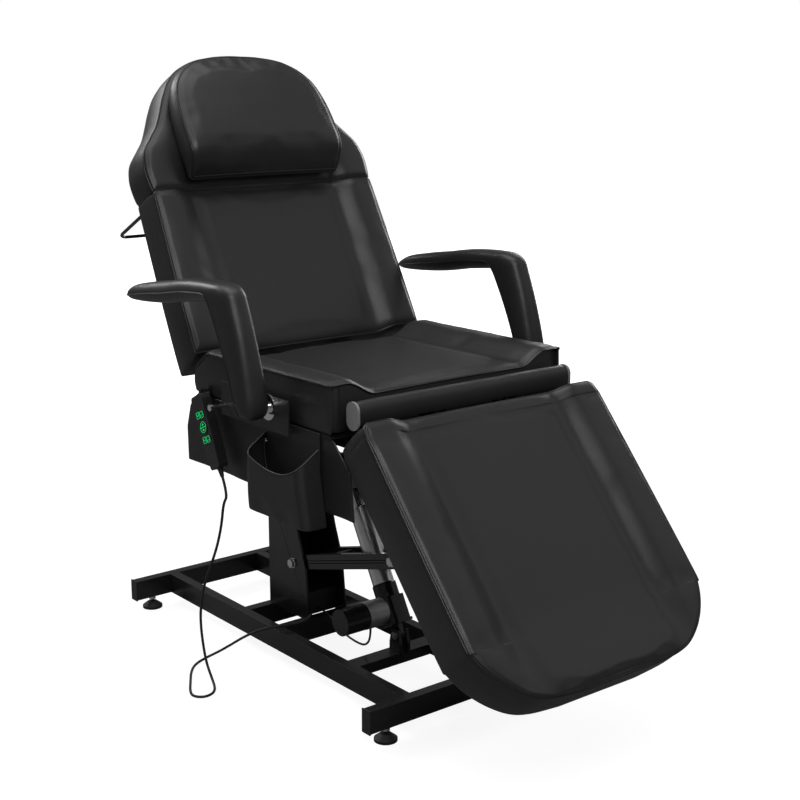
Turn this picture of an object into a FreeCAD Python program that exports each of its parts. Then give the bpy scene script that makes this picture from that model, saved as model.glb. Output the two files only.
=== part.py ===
"""Electric tattoo chair: a ladder base with a pedestal, parallel lift arms, a linear lift
actuator, an upholstered seat, back, head and leg rest, swing arms and a wired handset.

Millimetres, +Z up. X is the chair's width with the sitter's left on +X, and the chair faces -Y.
The origin is on the floor, under the middle of the chair as it stands.
"""
import FreeCAD, Part
import math
import os

import Sketcher
from FreeCAD import Placement, Rotation, Vector

NODE_FOLDER = "parts"

# Driving dimensions: name, value, meaning.
DIMENSIONS = [
    # Base frame
    ("base_length", 1000, "ladder base, front face to rear face"),
    ("base_width", 486, "length of the two end tubes"),
    ("base_centre_y", 223, "middle of the base behind the origin"),
    ("tube_tall", 50, "base tube, height of section"),
    ("tube_wide", 25, "base tube, width of section"),
    ("tube_wall", 2, "wall of the base tubes"),
    ("floor_gap", 31, "underside of the base above the floor"),
    ("side_tube_spacing", 265, "between the centres of the two side tubes"),
    ("column_tube_front", 1, "front pedestal tube behind the base middle"),
    ("column_tube_rear", 147, "rear pedestal tube behind the base middle"),
    ("bracket_tube_ahead", 280, "actuator tube ahead of the base middle"),
    ("bracket_tube_wide", 42, "actuator tube, laid flat, front to back"),
    ("bracket_tube_tall", 25, "actuator tube, height"),
    ("cap_flange", 3, "thickness of an end cap's flange"),
    ("cap_lip", 1.5, "end cap flange beyond the tube"),
    ("cap_plug", 16, "length of an end cap's plug"),
    ("cap_clearance", 0.4, "end cap plug to tube wall"),
    # Levelling feet
    ("foot_inset", 49, "levelling foot from the end of its tube"),
    ("foot_radius", 25, "foot pad"),
    ("foot_tall", 16, "foot pad height"),
    ("foot_waist", 12, "neck of the foot pad"),
    ("foot_rim", 6, "height of the foot's outer rim"),
    ("stud_radius", 5, "foot stud"),
    ("stud_clearance", 0.05, "stud in its nut, radial"),
    ("nut_across", 17, "weld nut, across flats"),
    ("nut_tall", 8, "weld nut height"),
    ("foot_stud_rise", 14, "stud above the nut"),
    # Pedestal and parallel arms
    ("column_width", 112, "pedestal over its side plates"),
    ("column_plate", 5, "pedestal plate"),
    ("column_front", 19, "pedestal foot ahead of the base middle"),
    ("column_rear", 146, "pedestal back behind the base middle"),
    ("column_bend_low", 131, "height of the lower bend over the tubes"),
    ("column_bend_high", 203, "height of the upper bend over the tubes"),
    ("column_setback_low", 13, "front edge set back at the lower bend"),
    ("column_setback_high", 40, "front edge set back at the upper bend"),
    ("column_setback_top", 80, "front edge set back at the top"),
    ("column_tall", 336, "pedestal over the tubes"),
    ("column_chamfer_y", 24, "slope at the top of the pedestal's back"),
    ("column_chamfer_z", 32, "slope at the top of the pedestal's back"),
    ("pivot_setback", 44, "lower arm pivot behind the base middle"),
    ("pivot_rise", 130, "lower arm pivot over the tubes"),
    ("arm_length", 387.5, "lift arm between its pivots"),
    ("arm_angle", 15.7, "lift arms above level, as it stands, degrees"),
    ("upper_pivot_back", 47, "upper arm pivot behind the lower"),
    ("upper_pivot_up", 178, "upper arm pivot above the lower"),
    ("arm_tall", 35, "lift arm depth"),
    ("arm_thick", 18, "lift arm width"),
    ("arm_gap", 64, "clear width between the two arms"),
    ("bolt_radius", 8, "pivot bolts"),
    ("bolt_clearance", 0.05, "pivot bolt in its hole, radial"),
    ("bolt_head_across", 19, "pivot bolt head, across flats"),
    ("bolt_head_tall", 7, "pivot bolt head"),
    ("washer_radius", 12, "pivot washer"),
    ("washer_thick", 2, "pivot washer"),
    ("brace_radius", 14, "cross tube between the arms"),
    ("lower_brace", 120, "lower cross tube from its pivot, along the arm"),
    ("upper_brace", 165.3, "upper cross tube from its pivot, along the arm"),
    ("upper_brace_lift", 11.7, "upper cross tube above its arm's middle"),
    ("lug_radius", 20, "round end of a lug on the upper cross tube"),
    ("lug_gap", 30, "clear width between the lugs"),
    ("lug_thick", 6, "lug thickness"),
    ("lug_hole", 14.5, "open hole in a lug, round the sliding pin"),
    ("play", 1, "side gap between moving parts"),
    # Carriage
    ("carriage_gap", 44, "clear width between the carriage plates"),
    ("carriage_plate", 6, "carriage plate"),
    ("carriage_nose", 61, "carriage head ahead of its lower pivot"),
    ("carriage_head_half", 55, "half width of the carriage's head"),
    ("web_up", 30, "web of the carriage above the upper bolt"),
    ("carriage_head", 230, "length of the carriage's head under the seat"),
    ("carriage_edge", 28, "metal round a pivot"),
    # Lift actuator, along its own axis from the bottom pin
    ("actuator_pin_ahead", 293, "bottom pin ahead of the base middle"),
    ("actuator_pin_rise", 42, "bottom pin over the base tubes"),
    ("actuator_lean", 29.3, "actuator from upright, degrees"),
    ("actuator_length", 420, "bottom pin to top pin, as it stands"),
    ("actuator_pin_radius", 6, "actuator pins"),
    ("tongue_thick", 12, "fixing tongue of the actuator"),
    ("tongue_radius", 13, "round end of the tongue"),
    ("gear_start", 24, "gear housing's flange above the pin"),
    ("gear_flange", 6, "gear housing's flange thickness"),
    ("gear_tall", 56, "gear housing height"),
    ("gear_wide", 62, "gear housing across"),
    ("gear_deep", 66, "gear housing front to back"),
    ("gear_corner", 14, "gear housing's corner radius"),
    ("neck_radius", 27.5, "moulded neck over the gears"),
    ("neck_tall", 34, "neck length"),
    ("sleeve_radius", 25, "bright outer tube"),
    ("sleeve_wall", 3, "outer tube wall"),
    ("sleeve_end", 300, "top of the outer tube from the pin"),
    ("collar_radius", 27, "collar at the top of the outer tube"),
    ("collar_tall", 12, "collar height"),
    ("rod_radius", 14, "actuator rod"),
    ("rod_clearance", 0.1, "rod in its collar, radial"),
    ("rod_inside", 120, "rod below the top of the outer tube"),
    ("rod_neck", 15, "flat eye below the top pin"),
    ("rod_eye_thick", 28, "width of the rod's eye"),
    ("motor_radius", 30, "motor can"),
    ("motor_length", 116, "motor from the gear housing"),
    ("motor_cap", 56, "black end cap of the motor"),
    ("motor_axis", 61, "motor axis above the bottom pin"),
    ("band_length", 52, "bright band round the motor"),
    ("band_thick", 0.8, "band thickness"),
    ("bracket_gap", 14, "clear width between the bracket plates"),
    ("bracket_plate", 8, "bracket plate"),
    ("bracket_half", 19, "half length of a bracket plate"),
    # Seat
    ("seat_front", 237, "seat front ahead of the origin"),
    ("seat_back", 276, "seat rear behind the origin"),
    ("seat_half", 310, "half width of the seat, back and leg rest"),
    ("seat_low", 669, "underside of the seat cushion"),
    ("seat_thick", 103, "seat cushion at its side bolsters"),
    ("bolster_wide", 42, "side bolster of the seat"),
    ("bolster_slope", 70, "width of the slope into the seat's middle"),
    ("side_bulge", 3, "belly of a cushion's side"),
    ("crown", 5, "crown of a cushion's middle"),
    ("cushion_dip", 30, "middle of a cushion below its bolsters"),
    ("cushion_edge", 9, "rounding of a cushion's long edges"),
    ("cushion_gap", 0.4, "soft pieces to their neighbours"),
    ("board_thick", 12, "plywood under the upholstery"),
    ("board_inset", 5, "board inside the cushion's edge"),
    ("rail", 25, "square tube of the seat, back and leg frames"),
    ("rail_wall", 1.8, "wall of the square tubes"),
    ("seat_rail_spacing", 500, "between the seat's side rails"),
    ("seat_rail_front", 231, "seat frame's front ahead of the origin"),
    ("seat_rail_rear", 259, "seat frame's rear behind the origin"),
    ("cross_rail_front", 162, "cross rail over the carriage, ahead of the origin"),
    ("cross_rail_rear", 23, "cross rail over the carriage, behind the origin"),
    ("leg_bracket_x", 100, "leg hinge bracket from the middle"),
    ("back_bracket_x", 140, "back hinge bracket from the middle"),
    # Back and head
    ("back_hinge_y", 294, "back hinge behind the origin"),
    ("back_hinge_z", 690, "back hinge above the floor"),
    ("back_lean", 27.5, "back from upright, as it stands, degrees"),
    ("back_start", 41, "lower edge of the back above its hinge"),
    ("back_length", 380, "back from its lower edge to the head's seam"),
    ("back_face", 73, "bolster face in front of the back hinge"),
    ("back_thick", 95, "back at its bolsters"),
    ("back_wing", 86, "side bolster of the back and leg rest"),
    ("back_slope", 26, "slope into the middle of the back and leg rest"),
    ("back_dip", 22, "middle below the bolsters, back and leg rest"),
    ("head_length", 328, "head section above its seam"),
    ("pillow_start", 18, "pillow above the head's seam"),
    ("pillow_length", 300, "pillow along the back"),
    ("pillow_half", 205, "half width of the pillow"),
    ("pillow_thick", 78, "pillow at its fullest"),
    ("board_half", 292, "half width of the back and leg boards"),
    ("board_end_half", 190, "half width of those boards at the far end"),
    ("back_board_shoulder", 490, "back board's full width above its hinge"),
    ("back_board_end", 640, "back board's top above its hinge"),
    ("leg_board_shoulder", 480, "leg board's full width from its hinge"),
    ("leg_board_end", 610, "leg board's far end from its hinge"),
    ("back_rail_end", 600, "back frame's top above its hinge"),
    ("rail_setback", 27, "rear cross rail ahead of the side rails' ends"),
    ("front_setback", 9, "front cross rail behind the side rails' ends"),
    ("head_fade", 60, "length over which the back's recess fades out in the head"),
    ("heel_tilt", 0.295, "slope of the back's lower end"),
    ("heel_blend", 120, "length over which that slope fades"),
    ("side_inside", 120, "rod inside a side actuator's tube"),
    ("towel_wire", 4, "radius of the towel rail's rod"),
    ("towel_reach", 140, "towel rail behind the back"),
    ("towel_half", 285, "half width of the towel rail"),
    ("towel_rise", 365, "towel rail above the back's lower edge"),
    ("towel_bend", 24, "bend radius of the towel rail"),
    # Leg rest
    ("leg_hinge_y", 281, "leg hinge ahead of the origin"),
    ("leg_hinge_z", 711, "leg hinge above the floor"),
    ("leg_drop", 49.2, "leg rest below level, as it stands, degrees"),
    ("leg_start", 40, "top end of the leg rest from its hinge"),
    ("leg_length", 604, "leg rest along its face"),
    ("leg_face", 51, "leg rest's face over its hinge"),
    ("leg_thick", 100, "leg rest thickness"),
    ("leg_fade", 110, "length over which its recess fades out"),
    ("leg_corner", 168, "round of the leg rest's far corners, along"),
    ("shaft_radius", 10, "leg and back hinge shafts"),
    ("shaft_clearance", 0.06, "hinge eye on its shaft, radial"),
    ("eye_radius", 16, "hinge eye"),
    ("eye_thick", 8, "hinge eye plate"),
    ("leg_eye_x", 120, "leg frame's hinge eyes from the middle"),
    ("back_eye_x", 124, "back frame's hinge eyes from the middle"),
    ("lever_x", 70, "actuator levers from the middle"),
    ("lever_length", 126, "actuator lever from its hinge shaft"),
    ("lever_half", 13, "half width of an actuator lever"),
    ("neck_near", 28, "narrowest place of a lever, which clears the seat, from its shaft"),
    ("neck_half", 1.5, "lever's front edge there"),
    ("neck_step", 8, "lever's front edge below there"),
    ("neck_far", 48, "lever is full width beyond there"),
    ("slot_near", 80, "near end of a lever's slot from the shaft"),
    ("slot_far", 117, "far end of a lever's slot"),
    ("slot_half", 8.5, "half width of a lever's slot"),
    ("lever_mid_back", 35, "half of the back's travel, degrees"),
    ("lever_mid_leg", 24.6, "half of the leg rest's travel, degrees"),
    ("back_rod_drop", 86, "back actuator below the back hinge"),
    ("leg_rod_drop", 100, "leg actuator below the leg hinge"),
    ("side_rod_x", 84, "back and leg actuators from the middle"),
    ("side_rod", 9, "rod of the back and leg actuators"),
    ("side_eye", 12, "eye of those rods"),
    ("side_tube", 18, "tube of the back and leg actuators"),
    ("side_pin", 5, "pin of those rods"),
    ("side_box", 24, "half size of their gear boxes"),
    ("side_box_long", 60, "length of their gear boxes"),
    ("side_motor", 20, "radius of their motors"),
    ("side_motor_long", 95, "length of their motors"),
    ("back_tube_end", 201, "back actuator tube's end behind the origin"),
    ("back_box_y", 197, "back actuator box ahead of the origin"),
    ("leg_tube_end", 210, "leg actuator tube's end ahead of the origin"),
    ("leg_box_y", 23, "leg actuator box behind the origin"),
    ("frame_rail_x", 200, "back and leg frame rails from the middle"),
    ("roll_half", 282, "half length of the filler roll at the leg hinge"),
    ("roll_tall", 57, "filler roll, height"),
    ("roll_deep", 38, "filler roll, front to back"),
    ("roll_cap", 5, "end plate of the filler roll"),
    # Arms
    ("hub_ahead", 81, "arm hub ahead of the origin"),
    ("hub_z", 702, "arm hub above the floor"),
    ("arm_x", 384, "middle of an armrest from the middle of the chair"),
    ("arm_wide", 66, "armrest width"),
    ("arm_reach", 463, "armrest's tip behind its hub"),
    ("arm_rise", 220, "top of its centre line above its hub"),
    ("arm_deep", 26, "half depth of the armrest at its bend"),
    ("arm_corner", 15, "rounding of the armrest's section"),
    ("hub_radius", 18, "boss of the arm hub"),
    ("hub_flange", 27, "bright flange of the arm hub"),
    ("hub_flange_thick", 4, "arm hub flange"),
    ("hub_stub", 12, "stub shaft in the armrest, radius"),
    ("stub_depth", 27, "stub shaft inside the armrest"),
    ("lock_y", 106, "arm lock pin behind the origin"),
    ("lock_z", 668, "arm lock pin above the floor"),
    ("lock_radius", 4, "arm lock pin"),
    ("lock_out", 34, "lock pin outside its plate"),
    ("lock_in", 10, "lock pin inside its plate"),
    ("lock_knob", 7, "knob of the lock pin, radius and length"),
    ("plate_x", 330, "outer face of the arm's mounting plate"),
    ("plate_thick", 4, "arm mounting plate"),
    ("plate_front", 125, "mounting plate ahead of the origin"),
    ("plate_rear", 124, "mounting plate behind the origin"),
    ("plate_low", 646, "underside of the mounting plate"),
    ("plate_tall", 72, "mounting plate height"),
    ("plate_foot", 8, "bar from the seat frame to the mounting plate"),
    ("plate_foot_wide", 60, "bar, front to back"),
    # Skirt and pocket
    ("skirt_thick", 5, "side skirt"),
    ("skirt_down", 4, "skirt's top below the seat cushion"),
    ("skirt_low", 507, "lower edge of the skirt"),
    ("flap_front", 202, "flap's front edge ahead of the origin"),
    ("flap_rear", 298, "flap's lower rear corner behind the origin"),
    ("flap_bend", 75, "flap's rear edge, lower bend"),
    ("flap_knee", 125, "flap's rear edge, upper bend"),
    ("flap_slope", 44, "flap's top rear corner ahead of its lower one"),
    ("wing_rear", 192, "skirt wing's rear edge ahead of the origin"),
    ("wing_front", 305, "skirt wing's lower front corner"),
    ("wing_knee", 22, "skirt wing below the cushion"),
    ("wing_bend", 58, "skirt wing's bend below the board"),
    ("pocket_wall", 3, "pocket wall"),
    ("pocket_low", 476, "bottom of the pocket"),
    ("pocket_top", 596, "top of the pocket's outer corners"),
    ("pocket_slope", 34, "rise of the pocket's sides to the skirt"),
    ("pocket_dip", 20, "scoop of the pocket's lip"),
    ("pocket_scoop", 280, "radius of the scoop"),
    ("pocket_front", 225, "pocket's front ahead of the origin"),
    ("pocket_long", 214, "pocket, front to back"),
    ("pocket_depth", 54, "pocket from the skirt, at the bottom"),
    # Handset
    ("handset_length", 165, "handset body"),
    ("handset_wide", 48, "handset body"),
    ("handset_thick", 23, "handset body"),
    ("handset_tilt", 27, "handset from upright, degrees"),
    ("handset_x", 336, "handset from the middle of the chair"),
    ("handset_y", 165, "handset's middle behind the origin"),
    ("handset_z", 600, "handset's middle above the floor"),
    ("button_travel", 1.2, "travel of a handset button"),
    ("button_gap", 0.4, "button to its opening"),
    ("cord_radius", 3, "handset cord"),
    ("handset_corner", 7, "corners of the handset"),
    ("button_row_top", 39, "upper pair of buttons above the middle"),
    ("button_row_upper", 20.5, "upper round button above the middle"),
    ("button_row_lower", 2.7, "lower round button above the middle"),
    ("button_row_low", -16.7, "lower pair of buttons"),
    ("button_split", 1.2, "half of the gap between paired buttons"),
    ("button_wide", 15, "paired button"),
    ("button_tall", 17, "paired button"),
    ("disc_half", 14, "half width of a round button"),
    ("disc_tall", 14.5, "height of a round button"),
    ("button_deep", 7.5, "depth of the button openings"),
    ("button_body", 6, "depth of a button"),
    ("button_proud", 1.4, "button above the shell"),
    ("tab_thick", 4, "hanging tab"),
    ("tab_wide", 22, "hanging tab"),
    ("tab_tall", 18, "hanging tab above the handset"),
    ("hook_radius", 3, "hook peg"),
    ("hook_strip", 3, "hook strip"),
    ("hook_wide", 20, "hook strip"),
    ("hook_tall", 46, "hook strip below its peg"),
    ("relief_tip", 4, "strain relief, lower end"),
    ("relief_root", 6.5, "strain relief at the handset"),
    ("relief_long", 20, "strain relief"),
    ("box_wide", 100, "control box"),
    ("box_long", 112, "control box, front to back"),
    ("box_tall", 56, "control box"),
    ("box_front", 16, "control box behind the base middle"),
    ("lead_radius", 2.5, "sheathed motor leads"),
    ("lead_rise", 14, "leads' inlet above the base tubes"),
    ("inlet_x", 30, "cord inlet of the control box from the middle"),
    ("inlet_rise", 23, "cord inlet above the base tubes"),
]


class Size:
    """A size as a number and as the same words for an expression of the document."""

    def __init__(self, value, text):
        self.value = float(value)
        self.text = text

    def __float__(self):
        return self.value

    def _join(self, other, sign, value):
        other = as_size(other)
        return Size(value(self.value, other.value), f"({self.text} {sign} {other.text})")

    def __add__(self, other):
        return self._join(other, "+", lambda a, b: a + b)

    def __radd__(self, other):
        return as_size(other) + self

    def __sub__(self, other):
        return self._join(other, "-", lambda a, b: a - b)

    def __rsub__(self, other):
        return as_size(other) - self

    def __mul__(self, other):
        return self._join(other, "*", lambda a, b: a * b)

    def __rmul__(self, other):
        return as_size(other) * self

    def __truediv__(self, other):
        return self._join(other, "/", lambda a, b: a / b)

    def __neg__(self):
        return Size(-self.value, f"(0 - {self.text})")


def as_size(item):
    return item if isinstance(item, Size) else Size(item, repr(float(item)))


def sine(angle):
    return Size(math.sin(math.radians(float(angle))), f"sin({angle.text} * 1 deg)")


def cosine(angle):
    return Size(math.cos(math.radians(float(angle))), f"cos({angle.text} * 1 deg)")


document = FreeCAD.newDocument("TattooChair")
sheet = document.addObject("Spreadsheet::Sheet", "Dimensions")


class Sizes:
    """Every driving dimension of the sheet, as a Size of the same name."""


dim = Sizes()
for row, (alias, value, meaning) in enumerate(DIMENSIONS, start=1):
    sheet.set(f"A{row}", alias)
    sheet.set(f"B{row}", str(value))
    sheet.setAlias(f"B{row}", alias)
    sheet.set(f"C{row}", meaning)
    setattr(dim, alias, Size(value, f"Dimensions.{alias}"))
document.recompute()

nodes = []


# Small tools that every sub-part uses


def bind(item, path, size):
    """Binds one property to a size of the sheet."""
    item.setExpression(path, as_size(size).text)


def place(item, at=(0, 0, 0), axis=None, angle=0):
    """Places an object at a point of sizes, turned about an axis by a size in degrees."""
    point = Vector(*(float(c) for c in at))
    turn = Rotation(Vector(*axis), float(angle)) if axis else Rotation()
    item.Placement = Placement(point, turn)
    for name, size in zip("xyz", at):
        bind(item, f"Placement.Base.{name}", size)
    if axis:
        item.setExpression("Placement.Rotation.Angle", f"{as_size(angle).text} * 1 deg")
    return item


def named(kind, name):
    item = document.addObject(kind, name)
    item.Label = name
    return item


def box(name, corner, extent):
    item = named("Part::Box", name)
    for path, size in zip(("Length", "Width", "Height"), extent):
        bind(item, path, size)
    return place(item, corner)


def cylinder(name, base, radius, height, axis="Z"):
    item = named("Part::Cylinder", name)
    bind(item, "Radius", radius)
    bind(item, "Height", height)
    turns = {"Z": None, "X": (0, 1, 0), "Y": (-1, 0, 0)}
    return place(item, base, turns[axis], 90)


def cut(name, base, *tools):
    result = base
    for number, tool in enumerate(tools):
        step = named("Part::Cut", name if number == len(tools) - 1 else f"{name}_step{number}")
        step.Base, step.Tool = result, tool
        result = step
    return result


def fuse(name, *pieces):
    item = named("Part::MultiFuse", name)
    item.Shapes = list(pieces)
    item.Refine = True
    return item


def group(name, *pieces):
    item = named("Part::Compound", name)
    item.Links = list(pieces)
    return item


def node(item):
    """Marks an object as a sub-part to write."""
    nodes.append(item)
    return item


def new_body(name):
    body = document.addObject("PartDesign::Body", name)
    body.Label = name
    return body


def sketch_on(body, plane, name, offset=0):
    """A sketch on one of the body's own origin planes, moved along the plane's normal."""
    sketch = body.newObject("Sketcher::SketchObject", f"{body.Name}_{name}")
    support = [f for f in body.Origin.OriginFeatures if f.Role == plane][0]
    sketch.AttachmentSupport = (support, [""])
    sketch.MapMode = "FlatFace"
    sketch.setExpression("AttachmentOffset.Base.z", as_size(offset).text)
    return sketch


def draw_polygon(sketch, points):
    """A closed outline whose corners are bound to sizes."""
    first = sketch.GeometryCount
    count = len(points)
    values = [Vector(float(x), float(y), 0) for x, y in points]
    for i in range(count):
        sketch.addGeometry(Part.LineSegment(values[i], values[(i + 1) % count]), False)
    for i in range(count):
        sketch.addConstraint(
            Sketcher.Constraint("Coincident", first + i, 2, first + (i + 1) % count, 1)
        )
    for i, (x, y) in enumerate(points):
        for kind, size in (("DistanceX", x), ("DistanceY", y)):
            index = sketch.addConstraint(
                Sketcher.Constraint(kind, -1, 1, first + i, 1, float(size))
            )
            label = f"{kind}{first + i}"
            sketch.renameConstraint(index, label)
            bind(sketch, f"Constraints.{label}", size)


def draw_circle(sketch, centre, radius):
    x, y = centre
    index = sketch.addGeometry(
        Part.Circle(Vector(float(x), float(y), 0), Vector(0, 0, 1), float(radius)), False
    )
    for kind, size in (("DistanceX", x), ("DistanceY", y)):
        number = sketch.addConstraint(Sketcher.Constraint(kind, -1, 1, index, 3, float(size)))
        sketch.renameConstraint(number, f"{kind}{index}")
        bind(sketch, f"Constraints.{kind}{index}", size)
    number = sketch.addConstraint(Sketcher.Constraint("Radius", index, float(radius)))
    sketch.renameConstraint(number, f"Radius{index}")
    bind(sketch, f"Constraints.Radius{index}", radius)


def pad(body, sketch, name, length, middle=False, reverse=False):
    feature = body.newObject("PartDesign::Pad", f"{body.Name}_{name}")
    feature.Profile = sketch
    feature.Midplane = middle
    feature.Reversed = reverse
    bind(feature, "Length", length)
    document.recompute()
    return feature


def pocket(body, sketch, name, length=None, middle=False, reverse=False):
    """A cut of a length, or through everything, that must take something away."""
    before = body.Shape.Volume
    feature = body.newObject("PartDesign::Pocket", f"{body.Name}_{name}")
    feature.Profile = sketch
    feature.Midplane = middle
    feature.Reversed = reverse
    if length is None:
        feature.Type = 1
    else:
        bind(feature, "Length", length)
    document.recompute()
    if body.Shape.Volume >= before:
        raise RuntimeError(f"{feature.Name} cuts nothing")
    return feature


def revolve(body, sketch, name, axis="Base_Z"):
    """Turns a sketch through a full circle about one of the body's own axes."""
    roles = {"Base_X": "X_Axis", "Base_Y": "Y_Axis", "Base_Z": "Z_Axis"}
    line = [f for f in body.Origin.OriginFeatures if f.Role == roles[axis]][0]
    feature = body.newObject("PartDesign::Revolution", f"{body.Name}_{name}")
    feature.Profile = sketch
    feature.ReferenceAxis = (line, [""])
    feature.Angle = 360
    document.recompute()
    return feature


def edges_along(shape, direction, shortest=0):
    """Names of the straight edges that run along a direction."""
    wanted = Vector(*direction)
    found = []
    for number, edge in enumerate(shape.Edges, start=1):
        if edge.Curve.TypeId != "Part::GeomLine" or edge.Length <= shortest:
            continue
        if abs(abs(edge.tangentAt(edge.FirstParameter).dot(wanted)) - 1) < 1e-6:
            found.append(f"Edge{number}")
    return found


def round_edges(body, feature, names, name, radius):
    item = body.newObject("PartDesign::Fillet", f"{body.Name}_{name}")
    item.Base = (feature, names)
    bind(item, "Radius", radius)
    document.recompute()
    return item


def plate_body(name, outline, thickness, holes=(), at=(0, 0, 0), corner=None):
    """A plate in the YZ plane, centred on X, with round holes and rounded corners."""
    body = new_body(name)
    profile = sketch_on(body, "YZ_Plane", "outline")
    draw_polygon(profile, outline)
    blank = pad(body, profile, "plate", thickness, middle=True)
    if corner is not None:
        blank = round_edges(
            body, blank, edges_along(blank.Shape, (1, 0, 0)), "corners", corner
        )
    if holes:
        drilling = sketch_on(body, "YZ_Plane", "holes")
        for centre, radius in holes:
            draw_circle(drilling, centre, radius)
        pocket(body, drilling, "bore", thickness * 3, middle=True)
    return place(body, at)


def turned_body(name, outline, at=(0, 0, 0), axis=None, angle=0):
    """A body turned about its own Z from an outline of radius and height."""
    body = new_body(name)
    profile = sketch_on(body, "XZ_Plane", "outline")
    draw_polygon(profile, outline)
    revolve(body, profile, "turned")
    return place(body, at, axis, angle)


def shaped(name, shape, placement=None):
    """A sub-part whose form is worked out from the sizes with the shape tools."""
    item = named("Part::Feature", name)
    item.Shape = shape
    if placement:
        item.Placement = placement
    return item


def turned_about_x(y, z, angle):
    return Placement(Vector(0, float(y), float(z)), Rotation(Vector(1, 0, 0), float(angle)))


def hollow_tube(name, corner, extent, along, wall):
    """A rectangular tube: a box with a smaller box taken out along one axis."""
    outer = box(f"{name}_outside", corner, extent)
    index = "XYZ".index(along)
    inner_corner = [c if i == index else as_size(c) + wall for i, c in enumerate(corner)]
    inner_extent = [e if i == index else e - wall * 2 for i, e in enumerate(extent)]
    inner = box(f"{name}_inside", inner_corner, inner_extent)
    return cut(name, outer, inner)


# Places that several sub-parts share

tube_top = dim.floor_gap + dim.tube_tall
base_front = dim.base_centre_y - dim.base_length / 2
base_rear = dim.base_centre_y + dim.base_length / 2
pivot_y = dim.base_centre_y + dim.pivot_setback
pivot_z = tube_top + dim.pivot_rise
upper_y = pivot_y + dim.upper_pivot_back
upper_z = pivot_z + dim.upper_pivot_up
arm_run = dim.arm_length * cosine(dim.arm_angle)
arm_climb = dim.arm_length * sine(dim.arm_angle)
front_y = pivot_y - arm_run
front_z = pivot_z + arm_climb
upper_front_y = upper_y - arm_run
upper_front_z = upper_z + arm_climb
pin_y = dim.base_centre_y - dim.actuator_pin_ahead
pin_z = tube_top + dim.actuator_pin_rise
top_pin_y = pin_y + dim.actuator_length * sine(dim.actuator_lean)
top_pin_z = pin_z + dim.actuator_length * cosine(dim.actuator_lean)
arm_outer = dim.arm_gap / 2 + dim.arm_thick
rail_top = dim.seat_low - dim.board_thick
rail_low = rail_top - dim.rail


def make_base():
    """The ladder of rectangular tubes with its end caps."""
    ends = []
    for end, y in (("front", base_front), ("rear", base_rear - dim.tube_wide)):
        plain = hollow_tube(
            f"end_tube_{end}_plain",
            (-dim.base_width / 2, y, dim.floor_gap),
            (dim.base_width, dim.tube_wide, dim.tube_tall),
            "X",
            dim.tube_wall,
        )
        holes = [
            cylinder(
                f"end_tube_{end}_hole_{side}",
                (x, foot_y, dim.floor_gap - dim.tube_wall),
                dim.stud_radius + dim.play,
                dim.tube_wall * 3,
            )
            for foot_end, side, x, foot_y in foot_places()
            if foot_end == end
        ]
        ends.append(cut(f"end_tube_{end}", plain, *holes))
    node(group("base_end_tubes", *ends))
    length = dim.base_length - dim.tube_wide * 2
    sides = []
    for name, side in (("side_tube_left", 1), ("side_tube_right", -1)):
        middle = dim.side_tube_spacing / 2 * side
        sides.append(
            hollow_tube(
                name,
                (middle - dim.tube_wide / 2, base_front + dim.tube_wide, dim.floor_gap),
                (dim.tube_wide, length, dim.tube_tall),
                "Y",
                dim.tube_wall,
            )
        )
    node(group("base_side_tubes", *sides))
    clear = dim.side_tube_spacing - dim.tube_wide
    tubes = [
        hollow_tube(
            f"column_tube_{place_name}",
            (-clear / 2, dim.base_centre_y + offset - dim.tube_wide / 2, dim.floor_gap),
            (clear, dim.tube_wide, dim.tube_tall),
            "X",
            dim.tube_wall,
        )
        for place_name, offset in (("front", dim.column_tube_front), ("rear", dim.column_tube_rear))
    ]
    tubes.append(
        hollow_tube(
            "actuator_tube",
            (
                -clear / 2,
                dim.base_centre_y - dim.bracket_tube_ahead - dim.bracket_tube_wide / 2,
                tube_top - dim.bracket_tube_tall,
            ),
            (clear, dim.bracket_tube_wide, dim.bracket_tube_tall),
            "X",
            dim.tube_wall,
        )
    )
    node(group("base_cross_tubes", *tubes))
    caps = []
    for end, y in (("front", base_front), ("rear", base_rear - dim.tube_wide)):
        for side, sign in (("left", 1), ("right", -1)):
            flange_x = dim.base_width / 2 if sign > 0 else -dim.base_width / 2 - dim.cap_flange
            plug_x = dim.base_width / 2 - dim.cap_plug if sign > 0 else -dim.base_width / 2
            inset = dim.tube_wall + dim.cap_clearance
            flange = box(
                f"cap_flange_{end}_{side}",
                (flange_x, y - dim.cap_lip, dim.floor_gap - dim.cap_lip),
                (
                    dim.cap_flange,
                    dim.tube_wide + dim.cap_lip * 2,
                    dim.tube_tall + dim.cap_lip * 2,
                ),
            )
            plug = box(
                f"cap_plug_{end}_{side}",
                (plug_x, y + inset, dim.floor_gap + inset),
                (dim.cap_plug, dim.tube_wide - inset * 2, dim.tube_tall - inset * 2),
            )
            caps.append(fuse(f"cap_{end}_{side}", flange, plug))
    node(group("tube_end_caps", *caps))


def foot_places():
    half = dim.tube_wide / 2
    for end, y in (("front", base_front + half), ("rear", base_rear - half)):
        for side, sign in (("left", 1), ("right", -1)):
            yield end, side, (dim.base_width / 2 - dim.foot_inset) * sign, y


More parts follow.
